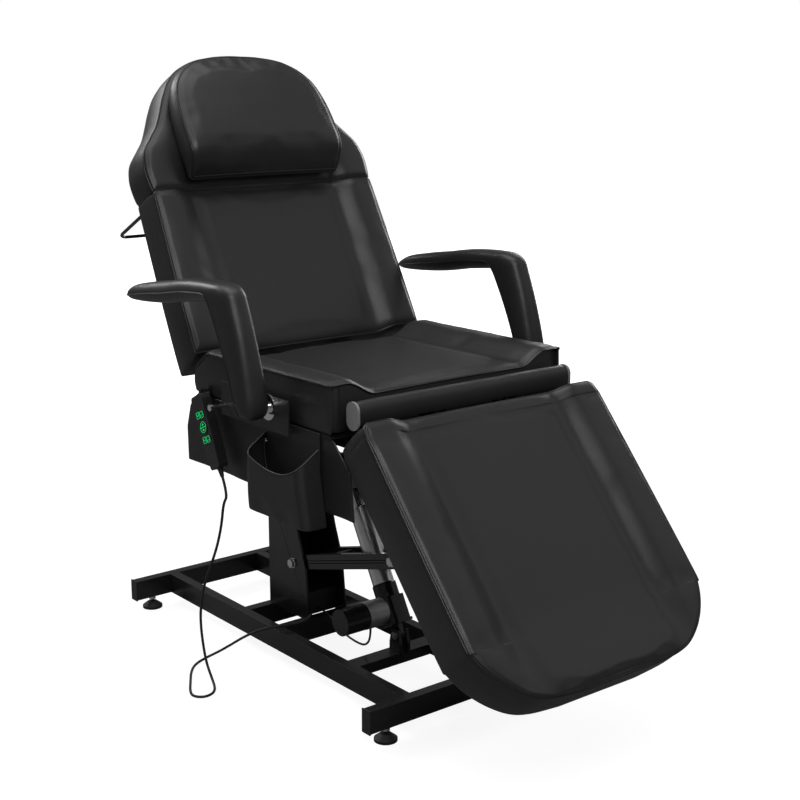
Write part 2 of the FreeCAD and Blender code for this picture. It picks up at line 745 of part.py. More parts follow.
def make_feet():
    """Levelling feet: a pad moulded on a stud that screws into a weld nut."""
    nuts = []
    for end, side, x, y in foot_places():
        name = f"foot_{end}_{side}"
        outline = [
            (0, 0),
            (dim.foot_radius, 0),
            (dim.foot_radius, dim.foot_rim),
            (dim.foot_waist, dim.foot_tall),
            (dim.stud_radius, dim.foot_tall),
            (dim.stud_radius, dim.floor_gap + dim.foot_stud_rise),
            (0, dim.floor_gap + dim.foot_stud_rise),
        ]
        node(turned_body(name, outline, (x, y, 0)))
        nut = named("Part::Prism", f"nut_{end}_{side}")
        nut.Polygon = 6
        bind(nut, "Circumradius", dim.nut_across / 2 / cosine(Size(30, "30")))
        bind(nut, "Height", dim.nut_tall)
        place(nut, (x, y, dim.floor_gap - dim.nut_tall))
        bore = cylinder(
            f"nut_bore_{end}_{side}",
            (x, y, dim.floor_gap - dim.nut_tall),
            dim.stud_radius + dim.stud_clearance,
            dim.nut_tall,
        )
        nuts.append(cut(f"nut_{end}_{side}_bored", nut, bore))
    node(group("foot_nuts", *nuts))


def column_profile(inset_front, inset_rear, low, high):
    """Side outline of the pedestal, with its front and rear faces moved inwards."""
    y = dim.base_centre_y
    return [
        (y - dim.column_front - inset_front, low),
        (y - dim.column_front + dim.column_setback_low - inset_front, tube_top + dim.column_bend_low),
        (y - dim.column_front + dim.column_setback_high - inset_front, tube_top + dim.column_bend_high),
        (y - dim.column_front + dim.column_setback_top - inset_front, high),
        (y + dim.column_rear - dim.column_chamfer_y - inset_rear, high),
        (y + dim.column_rear - inset_rear, tube_top + dim.column_tall - dim.column_chamfer_z),
        (y + dim.column_rear - inset_rear, low),
    ]


def make_pedestal():
    """A folded channel, open at the front and the top, with four pivot holes."""
    body = new_body("pedestal")
    outline = sketch_on(body, "YZ_Plane", "outline")
    draw_polygon(outline, column_profile(0, 0, tube_top, tube_top + dim.column_tall))
    pad(body, outline, "block", dim.column_width, middle=True)
    inside = sketch_on(body, "YZ_Plane", "inside")
    draw_polygon(
        inside,
        column_profile(
            dim.column_setback_top,
            dim.column_plate,
            tube_top - dim.column_plate,
            tube_top + dim.column_tall * 2,
        ),
    )
    pocket(body, inside, "hollow", dim.column_width - dim.column_plate * 2, middle=True)
    holes = sketch_on(body, "YZ_Plane", "holes")
    draw_circle(holes, (pivot_y, pivot_z), dim.bolt_radius)
    draw_circle(holes, (upper_y, upper_z), dim.bolt_radius)
    pocket(body, holes, "pivot_holes", dim.column_width * 2, middle=True)
    node(body)


def hexagon(name, at, across, length):
    """A six-sided head with its axis along X."""
    item = named("Part::Prism", name)
    item.Polygon = 6
    bind(item, "Circumradius", across / 2 / cosine(Size(30, "30")))
    bind(item, "Height", length)
    return place(item, at, (0, 1, 0), 90)


def pivot_bolt(name, y, z, half):
    """A bolt across the chair with a washer and a six-sided head or nut at each end."""
    shank = cylinder(f"{name}_shank", (-half, y, z), dim.bolt_radius, half * 2, "X")
    parts = [shank]
    for side, sign in (("left", 1), ("right", -1)):
        washer_x = half if sign > 0 else -half - dim.washer_thick
        head_x = (
            half + dim.washer_thick
            if sign > 0
            else -half - dim.washer_thick - dim.bolt_head_tall
        )
        parts.append(
            cylinder(
                f"{name}_washer_{side}", (washer_x, y, z), dim.washer_radius, dim.washer_thick, "X"
            )
        )
        parts.append(
            hexagon(f"{name}_head_{side}", (head_x, y, z), dim.bolt_head_across, dim.bolt_head_tall)
        )
    return fuse(name, *parts)


def make_bolts():
    column_half = dim.column_width / 2
    bracket = dim.bracket_gap / 2 + dim.bracket_plate
    node(
        group(
            "base_pivot_bolts",
            pivot_bolt("lower_column_bolt", pivot_y, pivot_z, column_half),
            pivot_bolt("upper_column_bolt", upper_y, upper_z, column_half),
            pin_with_heads(
                "lift_bottom_pin", -bracket, bracket, pin_y, pin_z, dim.actuator_pin_radius
            ),
        )
    )
    node(
        group(
            "carriage_bolts",
            pivot_bolt("lower_carriage_bolt", front_y, front_z, arm_outer),
            pivot_bolt("upper_carriage_bolt", upper_front_y, upper_front_z, arm_outer),
        )
    )


def arm_bar(name, side):
    """One flat lift arm with round ends, from its rear pivot forward."""
    half = dim.arm_tall / 2
    x = (dim.arm_gap + dim.arm_thick) / 2 * side
    outline = [
        (half, -half),
        (half, half),
        (-dim.arm_length - half, half),
        (-dim.arm_length - half, -half),
    ]
    body = new_body(name)
    sketch = sketch_on(body, "YZ_Plane", "outline")
    draw_polygon(sketch, outline)
    bar = pad(body, sketch, "bar", dim.arm_thick, middle=True)
    round_edges(body, bar, edges_along(bar.Shape, (1, 0, 0)), "ends", dim.arm_tall * 0.49)
    holes = sketch_on(body, "YZ_Plane", "holes")
    for y in (as_size(0), -dim.arm_length):
        draw_circle(holes, (y, 0), dim.bolt_radius + dim.bolt_clearance)
    pocket(body, holes, "pivots", dim.arm_thick * 3, middle=True)
    return body, x


def make_arms():
    """Two pairs of lift arms, each pair joined by a round cross tube."""
    for name, y, z in (("lift_arms_lower", pivot_y, pivot_z), ("lift_arms_upper", upper_y, upper_z)):
        pieces = []
        for side, sign in (("left", 1), ("right", -1)):
            body, x = arm_bar(f"{name}_{side}", sign)
            pieces.append(place(body, (x, y, z), (1, 0, 0), -dim.arm_angle))
        brace_back, brace_up = (
            (dim.lower_brace, as_size(0))
            if name == "lift_arms_lower"
            else (dim.upper_brace, dim.upper_brace_lift)
        )
        brace_y = y - brace_back * cosine(dim.arm_angle) + brace_up * sine(dim.arm_angle)
        brace_z = z + brace_back * sine(dim.arm_angle) + brace_up * cosine(dim.arm_angle)
        pieces.append(
            cylinder(
                f"{name}_brace", (-dim.arm_gap / 2, brace_y, brace_z), dim.brace_radius, dim.arm_gap, "X"
            )
        )
        if name == "lift_arms_upper":
            pieces += make_lugs(brace_y, brace_z)
        node(fuse(name, *pieces))


def make_lugs(brace_y, brace_z):
    """Two ears on the upper cross tube that carry the actuator's top pin."""
    lugs = []
    for side, sign in (("left", 1), ("right", -1)):
        span_y = top_pin_y - brace_y
        span_z = top_pin_z - brace_z
        length = math.hypot(float(span_y), float(span_z))
        across_y = Size(float(span_z) / length, repr(float(span_z) / length)) * dim.lug_radius
        across_z = Size(-float(span_y) / length, repr(-float(span_y) / length)) * dim.lug_radius
        x = (dim.lug_gap + dim.lug_thick) / 2 * sign
        body = new_body(f"lug_{side}")
        sketch = sketch_on(body, "YZ_Plane", "outline")
        draw_polygon(
            sketch,
            [
                (brace_y + across_y * 0.6, brace_z + across_z * 0.6),
                (top_pin_y + across_y, top_pin_z + across_z),
                (top_pin_y - across_y, top_pin_z - across_z),
                (brace_y - across_y * 0.6, brace_z - across_z * 0.6),
            ],
        )
        pad(body, sketch, "web", dim.lug_thick, middle=True)
        ear = sketch_on(body, "YZ_Plane", "ear")
        draw_circle(ear, (top_pin_y, top_pin_z), dim.lug_radius)
        pad(body, ear, "round", dim.lug_thick, middle=True)
        hole = sketch_on(body, "YZ_Plane", "hole")
        draw_circle(hole, (top_pin_y, top_pin_z), dim.lug_hole)
        pocket(body, hole, "open_hole", dim.lug_thick * 3, middle=True)
        lugs.append(place(body, (x, 0, 0)))
    return lugs


def make_carriage():
    """Two plates and a head plate under the seat frame, joined by a web."""
    outline = [
        (front_y - dim.carriage_edge, front_z - dim.carriage_edge * 0.55),
        (front_y + dim.carriage_edge * 0.65, front_z - dim.carriage_edge),
        (front_y + dim.carriage_edge, front_z - dim.carriage_edge * 0.7),
        (upper_front_y + dim.carriage_edge * 1.15, upper_front_z + dim.carriage_edge * 0.2),
        (front_y - dim.carriage_nose + dim.carriage_head, rail_low - dim.carriage_plate),
        (front_y - dim.carriage_nose, rail_low - dim.carriage_plate),
        (front_y - dim.carriage_edge * 0.36, upper_front_z - dim.carriage_edge * 0.15),
    ]
    pieces = []
    for side, sign in (("left", 1), ("right", -1)):
        x = (dim.carriage_gap + dim.carriage_plate) / 2 * sign
        pieces.append(
            plate_body(
                f"carriage_plate_{side}",
                outline,
                dim.carriage_plate,
                [((front_y, front_z), dim.bolt_radius), ((upper_front_y, upper_front_z), dim.bolt_radius)],
                (x, 0, 0),
            )
        )
    pieces.append(
        box(
            "carriage_head",
            (
                -dim.carriage_head_half,
                front_y - dim.carriage_nose,
                rail_low - dim.carriage_plate,
            ),
            (dim.carriage_head_half * 2, dim.carriage_head, dim.carriage_plate),
        )
    )
    web_tall = rail_low - dim.carriage_plate - upper_front_z - dim.web_up
    pieces.append(
        box(
            "carriage_web",
            (-dim.carriage_gap / 2, upper_front_y - dim.carriage_plate / 2, upper_front_z + dim.web_up),
            (dim.carriage_gap, dim.carriage_plate, web_tall),
        )
    )
    node(fuse("carriage", *pieces))


# Lift actuator: every piece stands on its own axis at the bottom pin


def on_actuator(item, along=0):
    y = pin_y + sine(dim.actuator_lean) * along
    z = pin_z + cosine(dim.actuator_lean) * along
    return place(item, (0, y, z), (1, 0, 0), -dim.actuator_lean)


def rounded_block(name, across, deep, tall, corner):
    """An upright block centred on Z, its four upright edges rounded."""
    body = new_body(name)
    sketch = sketch_on(body, "XY_Plane", "outline")
    x, y = across / 2, deep / 2
    draw_polygon(sketch, [(-x, -y), (x, -y), (x, y), (-x, y)])
    block = pad(body, sketch, "block", tall)
    round_edges(body, block, edges_along(block.Shape, (0, 0, 1)), "corners", corner)
    return body


def make_lift_actuator():
    """Gear housing with tongue and neck, motor, bright tube, collar, rod and pins."""
    tongue = new_body("lift_tongue")
    sketch = sketch_on(tongue, "YZ_Plane", "outline")
    r, top = dim.tongue_radius, dim.gear_start + dim.gear_flange / 2
    draw_polygon(
        sketch,
        [(-r, 0), (-r * 0.7, -r * 0.7), (0, -r), (r * 0.7, -r * 0.7), (r, 0), (r, top), (-r, top)],
    )
    pad(tongue, sketch, "blade", dim.tongue_thick, middle=True)
    hole = sketch_on(tongue, "YZ_Plane", "hole")
    draw_circle(hole, (0, 0), dim.actuator_pin_radius + dim.bolt_clearance)
    pocket(tongue, hole, "eye", dim.tongue_thick * 3, middle=True)
    on_actuator(tongue)
    flange = on_actuator(
        rounded_block("lift_flange", dim.gear_wide, dim.gear_deep, dim.gear_flange, dim.gear_corner),
        dim.gear_start,
    )
    inset = dim.gear_flange
    housing = on_actuator(
        rounded_block(
            "lift_housing",
            dim.gear_wide - inset,
            dim.gear_deep - inset,
            dim.gear_tall,
            dim.gear_corner,
        ),
        dim.gear_start + dim.gear_flange,
    )
    neck_low = dim.gear_start + dim.gear_flange + dim.gear_tall
    neck = on_actuator(
        turned_body(
            "lift_neck",
            [(0, 0), (dim.neck_radius, 0), (dim.neck_radius, dim.neck_tall - dim.sleeve_wall),
             (dim.neck_radius - dim.sleeve_wall, dim.neck_tall), (0, dim.neck_tall)],
        ),
        neck_low,
    )
    node(fuse("lift_gearbox", tongue, flange, housing, neck))
    motor_end = -(dim.gear_wide - inset) / 2
    motor_y = pin_y + sine(dim.actuator_lean) * dim.motor_axis
    motor_z = pin_z + cosine(dim.actuator_lean) * dim.motor_axis
    can = cylinder(
        "motor_can",
        (motor_end - dim.motor_length, motor_y, motor_z),
        dim.motor_radius,
        dim.motor_length,
        "X",
    )
    node(group("lift_motor", can))
    ring_outer = cylinder(
        "motor_band_outer",
        (motor_end - dim.band_length, motor_y, motor_z),
        dim.motor_radius + dim.band_thick,
        dim.band_length,
        "X",
    )
    ring_inner = cylinder(
        "motor_band_inner",
        (motor_end - dim.band_length, motor_y, motor_z),
        dim.motor_radius + dim.bolt_clearance,
        dim.band_length,
        "X",
    )
    node(cut("lift_motor_band", ring_outer, ring_inner))
    sleeve_low = neck_low + dim.neck_tall
    clear = dim.rod_radius + dim.rod_clearance
    bore = dim.sleeve_radius - dim.sleeve_wall
    collar_low = dim.sleeve_end - dim.collar_tall - sleeve_low
    node(
        on_actuator(
            turned_body(
                "lift_outer_tube",
                [
                    (bore, 0),
                    (dim.sleeve_radius, 0),
                    (dim.sleeve_radius, collar_low),
                    (dim.collar_radius, collar_low),
                    (dim.collar_radius, collar_low + dim.collar_tall),
                    (clear, collar_low + dim.collar_tall),
                    (clear, collar_low),
                    (bore, collar_low),
                ],
            ),
            sleeve_low,
        )
    )
    rod_low = dim.sleeve_end - dim.rod_inside
    neck_in = dim.rod_neck
    shaft = on_actuator(
        turned_body(
            "rod_shaft",
            [
                (0, 0),
                (dim.rod_radius, 0),
                (dim.rod_radius, dim.actuator_length - rod_low - neck_in),
                (0, dim.actuator_length - rod_low - neck_in),
            ],
        ),
        rod_low,
    )
    eye = new_body("rod_eye")
    outline = sketch_on(eye, "YZ_Plane", "outline")
    r = dim.rod_radius
    draw_polygon(
        outline,
        [(-r, -neck_in), (r, -neck_in), (r, 0), (r * 0.7, r * 0.7), (0, r), (-r * 0.7, r * 0.7), (-r, 0)],
    )
    pad(eye, outline, "blade", dim.rod_eye_thick, middle=True)
    hole = sketch_on(eye, "YZ_Plane", "hole")
    draw_circle(hole, (0, 0), dim.actuator_pin_radius)
    pocket(eye, hole, "bore", dim.rod_eye_thick * 3, middle=True)
    on_actuator(eye, dim.actuator_length)
    pin_half = dim.lug_gap / 2 + dim.lug_thick + dim.washer_thick
    parts = [
        shaft,
        eye,
        cylinder(
            "top_pin_shank", (-pin_half, top_pin_y, top_pin_z), dim.actuator_pin_radius, pin_half * 2, "X"
        ),
    ]
    for side, x in (("left", pin_half - dim.washer_thick + dim.play), ("right", -pin_half - dim.play)):
        parts.append(
            cylinder(
                f"top_pin_head_{side}",
                (x, top_pin_y, top_pin_z),
                dim.lug_radius - dim.play,
                dim.washer_thick,
                "X",
            )
        )
    node(fuse("lift_rod", *parts))
    plates = []
    for side, sign in (("left", 1), ("right", -1)):
        x = (dim.bracket_gap + dim.bracket_plate) / 2 * sign
        half = dim.bracket_half
        outline = [
            (pin_y - half, tube_top),
            (pin_y + half, tube_top),
            (pin_y + half, tube_top + dim.tube_wide),
            (pin_y + half * 0.6, pin_z + half * 0.8),
            (pin_y - half * 0.6, pin_z + half * 0.8),
            (pin_y - half, tube_top + dim.tube_wide),
        ]
        plates.append(
            plate_body(
                f"bracket_plate_{side}",
                outline,
                dim.bracket_plate,
                [((pin_y, pin_z), dim.actuator_pin_radius)],
                (x, 0, 0),
            )
        )
    node(group("lift_bracket", *plates))


def pin_with_heads(name, x_right, x_left, y, z, radius):
    """A pin along X with a flat head outside each end."""
    shank = cylinder(f"{name}_shank", (x_right, y, z), radius, x_left - x_right, "X")
    right = cylinder(
        f"{name}_head_right", (x_right - dim.washer_thick, y, z), radius * 1.6, dim.washer_thick, "X"
    )
    left = cylinder(f"{name}_head_left", (x_left, y, z), radius * 1.6, dim.washer_thick, "X")
    return fuse(name, shank, right, left)


# Seat structure


def square_rail(name, corner, length, along):
    extent = [dim.rail, dim.rail, dim.rail]
    extent["XYZ".index(along)] = length
    return hollow_tube(name, corner, extent, along, dim.rail_wall)


def make_seat_frame():
    """Ladder of square tubes with the hinge brackets and the arm plates' feet."""
    half = dim.seat_rail_spacing / 2
    length = dim.seat_rail_front + dim.seat_rail_rear
    pieces = []
    for side, sign in (("left", 1), ("right", -1)):
        pieces.append(
            square_rail(
                f"seat_rail_{side}",
                (half * sign - dim.rail / 2, -dim.seat_rail_front, rail_low),
                length,
                "Y",
            )
        )
    clear = dim.seat_rail_spacing - dim.rail
    for name, y in (
        ("front", -dim.seat_rail_front + dim.front_setback),
        ("carriage_front", -dim.cross_rail_front),
        ("carriage_rear", dim.cross_rail_rear),
        ("rear", dim.seat_rail_rear - dim.rail_setback - dim.rail),
    ):
        pieces.append(square_rail(f"seat_rail_{name}", (-clear / 2, y, rail_low), clear, "X"))
    for side, sign in (("left", 1), ("right", -1)):
        pieces.append(leg_bracket(f"leg_bracket_{side}", dim.leg_bracket_x * sign))
        pieces.append(back_bracket(f"back_bracket_{side}", dim.back_bracket_x * sign))
    node(group("seat_frame", *pieces))


def leg_bracket(name, x):
    """A plate from the front rail up to the leg rest's hinge shaft."""
    y, z, r = -dim.leg_hinge_y, dim.leg_hinge_z, dim.eye_radius
    front = -dim.seat_rail_front + dim.front_setback
    outline = [
        (front, rail_low + dim.tube_wall),
        (front, rail_top - dim.tube_wall),
        (front - r * 1.3, rail_top - dim.tube_wall),
        (y + r, z - r * 0.5),
        (y + r, z + r * 0.4),
        (y + r * 0.4, z + r),
        (y - r * 0.4, z + r),
        (y - r, z + r * 0.4),
        (y - r, z - r * 0.5),
        (front - r * 2.6, rail_low + dim.rail / 2),
        (front - r * 1.5, rail_low + dim.tube_wall),
    ]
    bore = ((y, z), dim.shaft_radius + dim.shaft_clearance)
    return plate_body(name, outline, dim.eye_thick, [bore], (x, 0, 0))


def back_bracket(name, x):
    """A plate from the rear rail up to the back's hinge shaft."""
    y, z, r = dim.back_hinge_y, dim.back_hinge_z, dim.eye_radius
    rear = dim.seat_rail_rear - dim.rail_setback
    outline = [
        (rear, rail_low + dim.tube_wall),
        (rear + r * 2.4, rail_low + dim.tube_wall),
        (y + r * 0.75, z - r),
        (y + r, z + r * 0.4),
        (y + r * 0.4, z + r),
        (y - r * 0.4, z + r),
        (y - r, z + r * 0.4),
        (y - r, z - r * 0.6),
        (y - r * 1.2, rail_top - dim.tube_wall),
        (rear, rail_top - dim.tube_wall),
    ]
    bore = ((y, z), dim.shaft_radius + dim.shaft_clearance)
    return plate_body(name, outline, dim.eye_thick, [bore], (x, 0, 0))


def make_arm_mounts():
    """Plate, foot bars, boss, flange and stub of each arm, and its sprung lock pin."""
    plates, hubs = [], []
    for side, sign in (("left", 1), ("right", -1)):
        inner = dim.plate_x - dim.plate_thick

        def lay(name, start, length, y, z, radius):
            x = start if sign > 0 else -(start + length)
            return cylinder(name, (x, y, z), radius, length, "X")

        def slab(name, start, extent_x, y, extent_y, z, extent_z):
            x = start if sign > 0 else -(start + extent_x)
            return box(name, (x, y, z), (extent_x, extent_y, extent_z))

        hub_y = -dim.hub_ahead
        plate = slab(
            f"arm_plate_{side}_sheet",
            inner,
            dim.plate_thick,
            -dim.plate_front,
            dim.plate_front + dim.plate_rear,
            dim.plate_low,
            dim.plate_tall,
        )
        rail_side = (dim.seat_rail_spacing + dim.rail) / 2
        feet = [
            slab(
                f"arm_plate_{side}_foot_{end}",
                rail_side,
                inner - rail_side,
                y - dim.plate_foot_wide / 2,
                dim.plate_foot_wide,
                dim.plate_low,
                dim.plate_foot,
            )
            for end, y in (("front", hub_y), ("rear", dim.lock_y - dim.plate_foot_wide / 2))
        ]
        hole = lay(
            f"arm_plate_{side}_hole",
            inner - dim.play,
            dim.plate_thick + dim.play * 2,
            dim.lock_y,
            dim.lock_z,
            dim.lock_radius + dim.bolt_clearance,
        )
        plates.append(cut(f"arm_plate_{side}", fuse(f"arm_plate_{side}_blank", plate, *feet), hole))
        reach = dim.arm_x - dim.arm_wide / 2
        boss_end = reach - dim.play - dim.hub_flange_thick
        boss = lay(
            f"arm_hub_{side}_boss", dim.plate_x, boss_end - dim.plate_x, hub_y, dim.hub_z, dim.hub_radius
        )
        flange = lay(
            f"arm_hub_{side}_flange", boss_end, dim.hub_flange_thick, hub_y, dim.hub_z, dim.hub_flange
        )
        stub = lay(
            f"arm_hub_{side}_stub",
            boss_end + dim.hub_flange_thick,
            dim.play + dim.stub_depth,
            hub_y,
            dim.hub_z,
            dim.hub_stub,
        )
        hubs.append(fuse(f"arm_hub_{side}", boss, flange, stub))
        pin = lay(
            f"arm_lock_{side}_rod",
            inner - dim.lock_in,
            dim.lock_in + dim.plate_thick + dim.lock_out,
            dim.lock_y,
            dim.lock_z,
            dim.lock_radius,
        )
        knob = lay(
            f"arm_lock_{side}_knob",
            dim.plate_x + dim.lock_out,
            dim.lock_knob,
            dim.lock_y,
            dim.lock_z,
            dim.lock_knob,
        )
        stop = lay(
            f"arm_lock_{side}_stop",
            inner - dim.lock_in - dim.lock_knob / 2,
            dim.lock_knob / 2,
            dim.lock_y,
            dim.lock_z,
            dim.lock_knob,
        )
        node(fuse(f"arm_lock_pin_{side}", pin, knob, stop))
    node(group("arm_plates", *plates))
    node(group("arm_hubs", *hubs))


# Back and leg rest mechanisms


def lever_plate(name, x, angle, y, z):
    """A slotted lever on a hinge shaft, pointing down when the angle is nothing.

    Its front edge is cut in near the shaft, where it passes the seat.
    """
    half, far = dim.lever_half, dim.lever_length
    outline = [
        (-dim.eye_radius, dim.eye_radius * 0.5),
        (-dim.eye_radius * 0.5, dim.eye_radius),
        (dim.eye_radius * 0.5, dim.eye_radius),
        (dim.eye_radius, dim.eye_radius * 0.5),
        (half + dim.rail_wall, -far + half * 0.5),
        (half * 0.6, -far),
        (-half * 0.6, -far),
        (-half - dim.rail_wall, -far + half * 0.5),
        (-half - dim.rail_wall, -dim.neck_far - dim.neck_step),
        (-dim.neck_step, -dim.neck_far),
        (-dim.neck_step, -dim.neck_near - dim.neck_step),
        (-dim.neck_half, -dim.neck_near),
        (-dim.eye_radius * 0.7, -dim.neck_near / 2),
    ]
    body = new_body(name)
    sketch = sketch_on(body, "YZ_Plane", "outline")
    draw_polygon(sketch, outline)
    pad(body, sketch, "plate", dim.eye_thick, middle=True)
    slot = sketch_on(body, "YZ_Plane", "slot")
    w = dim.slot_half
    draw_polygon(
        slot, [(-w, -dim.slot_far), (w, -dim.slot_far), (w, -dim.slot_near), (-w, -dim.slot_near)]
    )
    pocket(body, slot, "slot", dim.eye_thick * 3, middle=True)
    hole = sketch_on(body, "YZ_Plane", "bore")
    draw_circle(hole, (0, 0), dim.shaft_radius)
    pocket(body, hole, "shaft_bore", dim.eye_thick * 3, middle=True)
    return place(body, (x, y, z), (1, 0, 0), angle)


def hinge_arm(name, x, outline, y, z, angle):
    """A plate from a hinge shaft out to the frame that it carries."""
    body = new_body(name)
    sketch = sketch_on(body, "YZ_Plane", "outline")
    draw_polygon(sketch, outline)
    pad(body, sketch, "plate", dim.eye_thick, middle=True)
    hole = sketch_on(body, "YZ_Plane", "bore")
    draw_circle(hole, (0, 0), dim.shaft_radius)
    pocket(body, hole, "shaft_bore", dim.eye_thick * 3, middle=True)
    return place(body, (x, y, z), (1, 0, 0), angle)


def framed(name, corner, extent, along, at, angle):
    """A square tube laid out in the frame of the back or the leg rest."""
    outer = box(f"{name}_outside", corner, extent)
    index = "XYZ".index(along)
    wall = dim.rail_wall
    inner = box(
        f"{name}_inside",
        [c if i == index else as_size(c) + wall for i, c in enumerate(corner)],
        [e if i == index else e - wall * 2 for i, e in enumerate(extent)],
    )
    return place(cut(name, outer, inner), at, (1, 0, 0), angle)


def make_back_frame():
    y, z = dim.back_hinge_y, dim.back_hinge_z
    lean = Size(90, "90") - dim.back_lean
    at = (0, y, z)
    under = dim.back_thick - dim.back_face
    board_low = -under - dim.board_thick
    low = board_low - dim.rail
    r = dim.eye_radius
    start = r * 1.25
    length = dim.back_rail_end - start
    pieces = []
    for side, sign in (("left", 1), ("right", -1)):
        x = dim.frame_rail_x * sign
        pieces.append(
            framed(
                f"back_rail_{side}", (x - dim.rail / 2, start, low),
                (dim.rail, length, dim.rail), "Y", at, lean,
            )
        )
    clear = dim.frame_rail_x * 2 - dim.rail
    for name, along in (("low", start), ("middle", start + length / 2), ("high", start + length - dim.rail)):
        pieces.append(
            framed(f"back_rail_{name}", (-clear / 2, along, low), (clear, dim.rail, dim.rail), "X", at, lean)
        )
    for side, sign in (("left", 1), ("right", -1)):
        outline = [
            (-r * 0.4, -r), (-r, -r * 0.4), (-r, r * 0.4), (-r * 0.4, r), (r * 0.3, r),
            (r * 0.55, -r), (start, board_low - dim.rail_wall), (start, low + dim.rail_wall),
        ]
        pieces.append(hinge_arm(f"back_eye_{side}", dim.back_eye_x * sign, outline, y, z, lean))
    pieces.append(
        lever_plate("back_lever", -dim.lever_x, lean - dim.lever_mid_back, y, z)
    )
    half = dim.back_bracket_x + dim.eye_thick
    pieces.append(pin_with_heads("back_hinge_shaft", -half, half, y, z, dim.shaft_radius))
    node(group("back_frame", *pieces))
    outline = [
        (-dim.board_half, start),
        (dim.board_half, start),
        (dim.board_half, dim.back_board_shoulder),
        (dim.board_end_half, dim.back_board_end),
        (-dim.board_end_half, dim.back_board_end),
        (-dim.board_half, dim.back_board_shoulder),
    ]
    node(board_body("back_board", outline, board_low, at, lean))


def board_body(name, outline, low, at, angle):
    """A plywood board drawn in the frame of the back or the leg rest."""
    body = new_body(name)
    sketch = sketch_on(body, "XY_Plane", "outline", low)
    draw_polygon(sketch, outline)
    pad(body, sketch, "board", dim.board_thick)
    return place(body, at, (1, 0, 0), angle)


def make_leg_frame():
    y, z = -dim.leg_hinge_y, dim.leg_hinge_z
    drop = dim.leg_drop
    at = (0, y, z)
    under = dim.leg_thick - dim.leg_face
    board_low = -under - dim.board_thick
    low = board_low - dim.rail
    r = dim.eye_radius
    start = dim.leg_start + dim.rail * 1.4
    length = dim.leg_length - dim.leg_corner - dim.rail * 0.6
    pieces = []
    for side, sign in (("left", 1), ("right", -1)):
        x = dim.frame_rail_x * sign
        pieces.append(
            framed(
                f"leg_rail_{side}",
                (x - dim.rail / 2, -start - length, low),
                (dim.rail, length, dim.rail),
                "Y",
                at,
                drop,
            )
        )
    clear = dim.frame_rail_x * 2 - dim.rail
    for name, along in (("near", start), ("middle", start + length / 2), ("far", start + length - dim.rail)):
        pieces.append(
            framed(
                f"leg_rail_{name}", (-clear / 2, -along - dim.rail, low),
                (clear, dim.rail, dim.rail), "X", at, drop,
            )
        )
    for side, sign in (("left", 1), ("right", -1)):
        outline = [
            (r, -r * 0.4), (r, r * 0.4), (r * 0.4, r), (-r * 0.4, r), (-r, r * 0.4),
            (-r * 1.5, board_low - dim.rail_wall), (-start, board_low - dim.rail_wall),
            (-start, low + dim.rail_wall), (-r * 0.8, board_low - r * 0.6),
        ]
        pieces.append(hinge_arm(f"leg_eye_{side}", dim.leg_eye_x * sign, outline, y, z, drop))
    pieces.append(lever_plate("leg_lever", dim.lever_x, dim.lever_mid_leg, y, z))
    half = dim.leg_eye_x + dim.eye_thick
    pieces.append(pin_with_heads("leg_hinge_shaft", -half, half, y, z, dim.shaft_radius))
    node(group("leg_frame", *pieces))
    near = dim.rail - start
    outline = [
        (-dim.board_half, near),
        (-dim.board_half, -dim.leg_board_shoulder),
        (-dim.board_end_half, -dim.leg_board_end),
        (dim.board_end_half, -dim.leg_board_end),
        (dim.board_half, -dim.leg_board_shoulder),
        (dim.board_half, near),
    ]
    node(board_body("leg_board", outline, board_low, at, drop))


def make_side_actuators():
    """The back's and the leg rest's actuators lie along Y under the seat frame."""
    back_angle = Size(90, "90") - dim.back_lean - dim.lever_mid_back
    back_slope = Size(math.tan(math.radians(float(back_angle))), f"tan({back_angle.text} * 1 deg)")
    leg_slope = Size(
        math.tan(math.radians(float(dim.lever_mid_leg))), "tan(Dimensions.lever_mid_leg * 1 deg)"
    )
    side_actuator(
        "back_actuator",
        -1,
        1,
        dim.back_hinge_y + dim.back_rod_drop * back_slope,
        dim.back_hinge_z - dim.back_rod_drop,
        dim.back_tube_end,
        -dim.back_box_y,
    )
    side_actuator(
        "leg_actuator",
        1,
        -1,
        -dim.leg_hinge_y + dim.leg_rod_drop * leg_slope,
        dim.leg_hinge_z - dim.leg_rod_drop,
        -dim.leg_tube_end,
        dim.leg_box_y,
    )


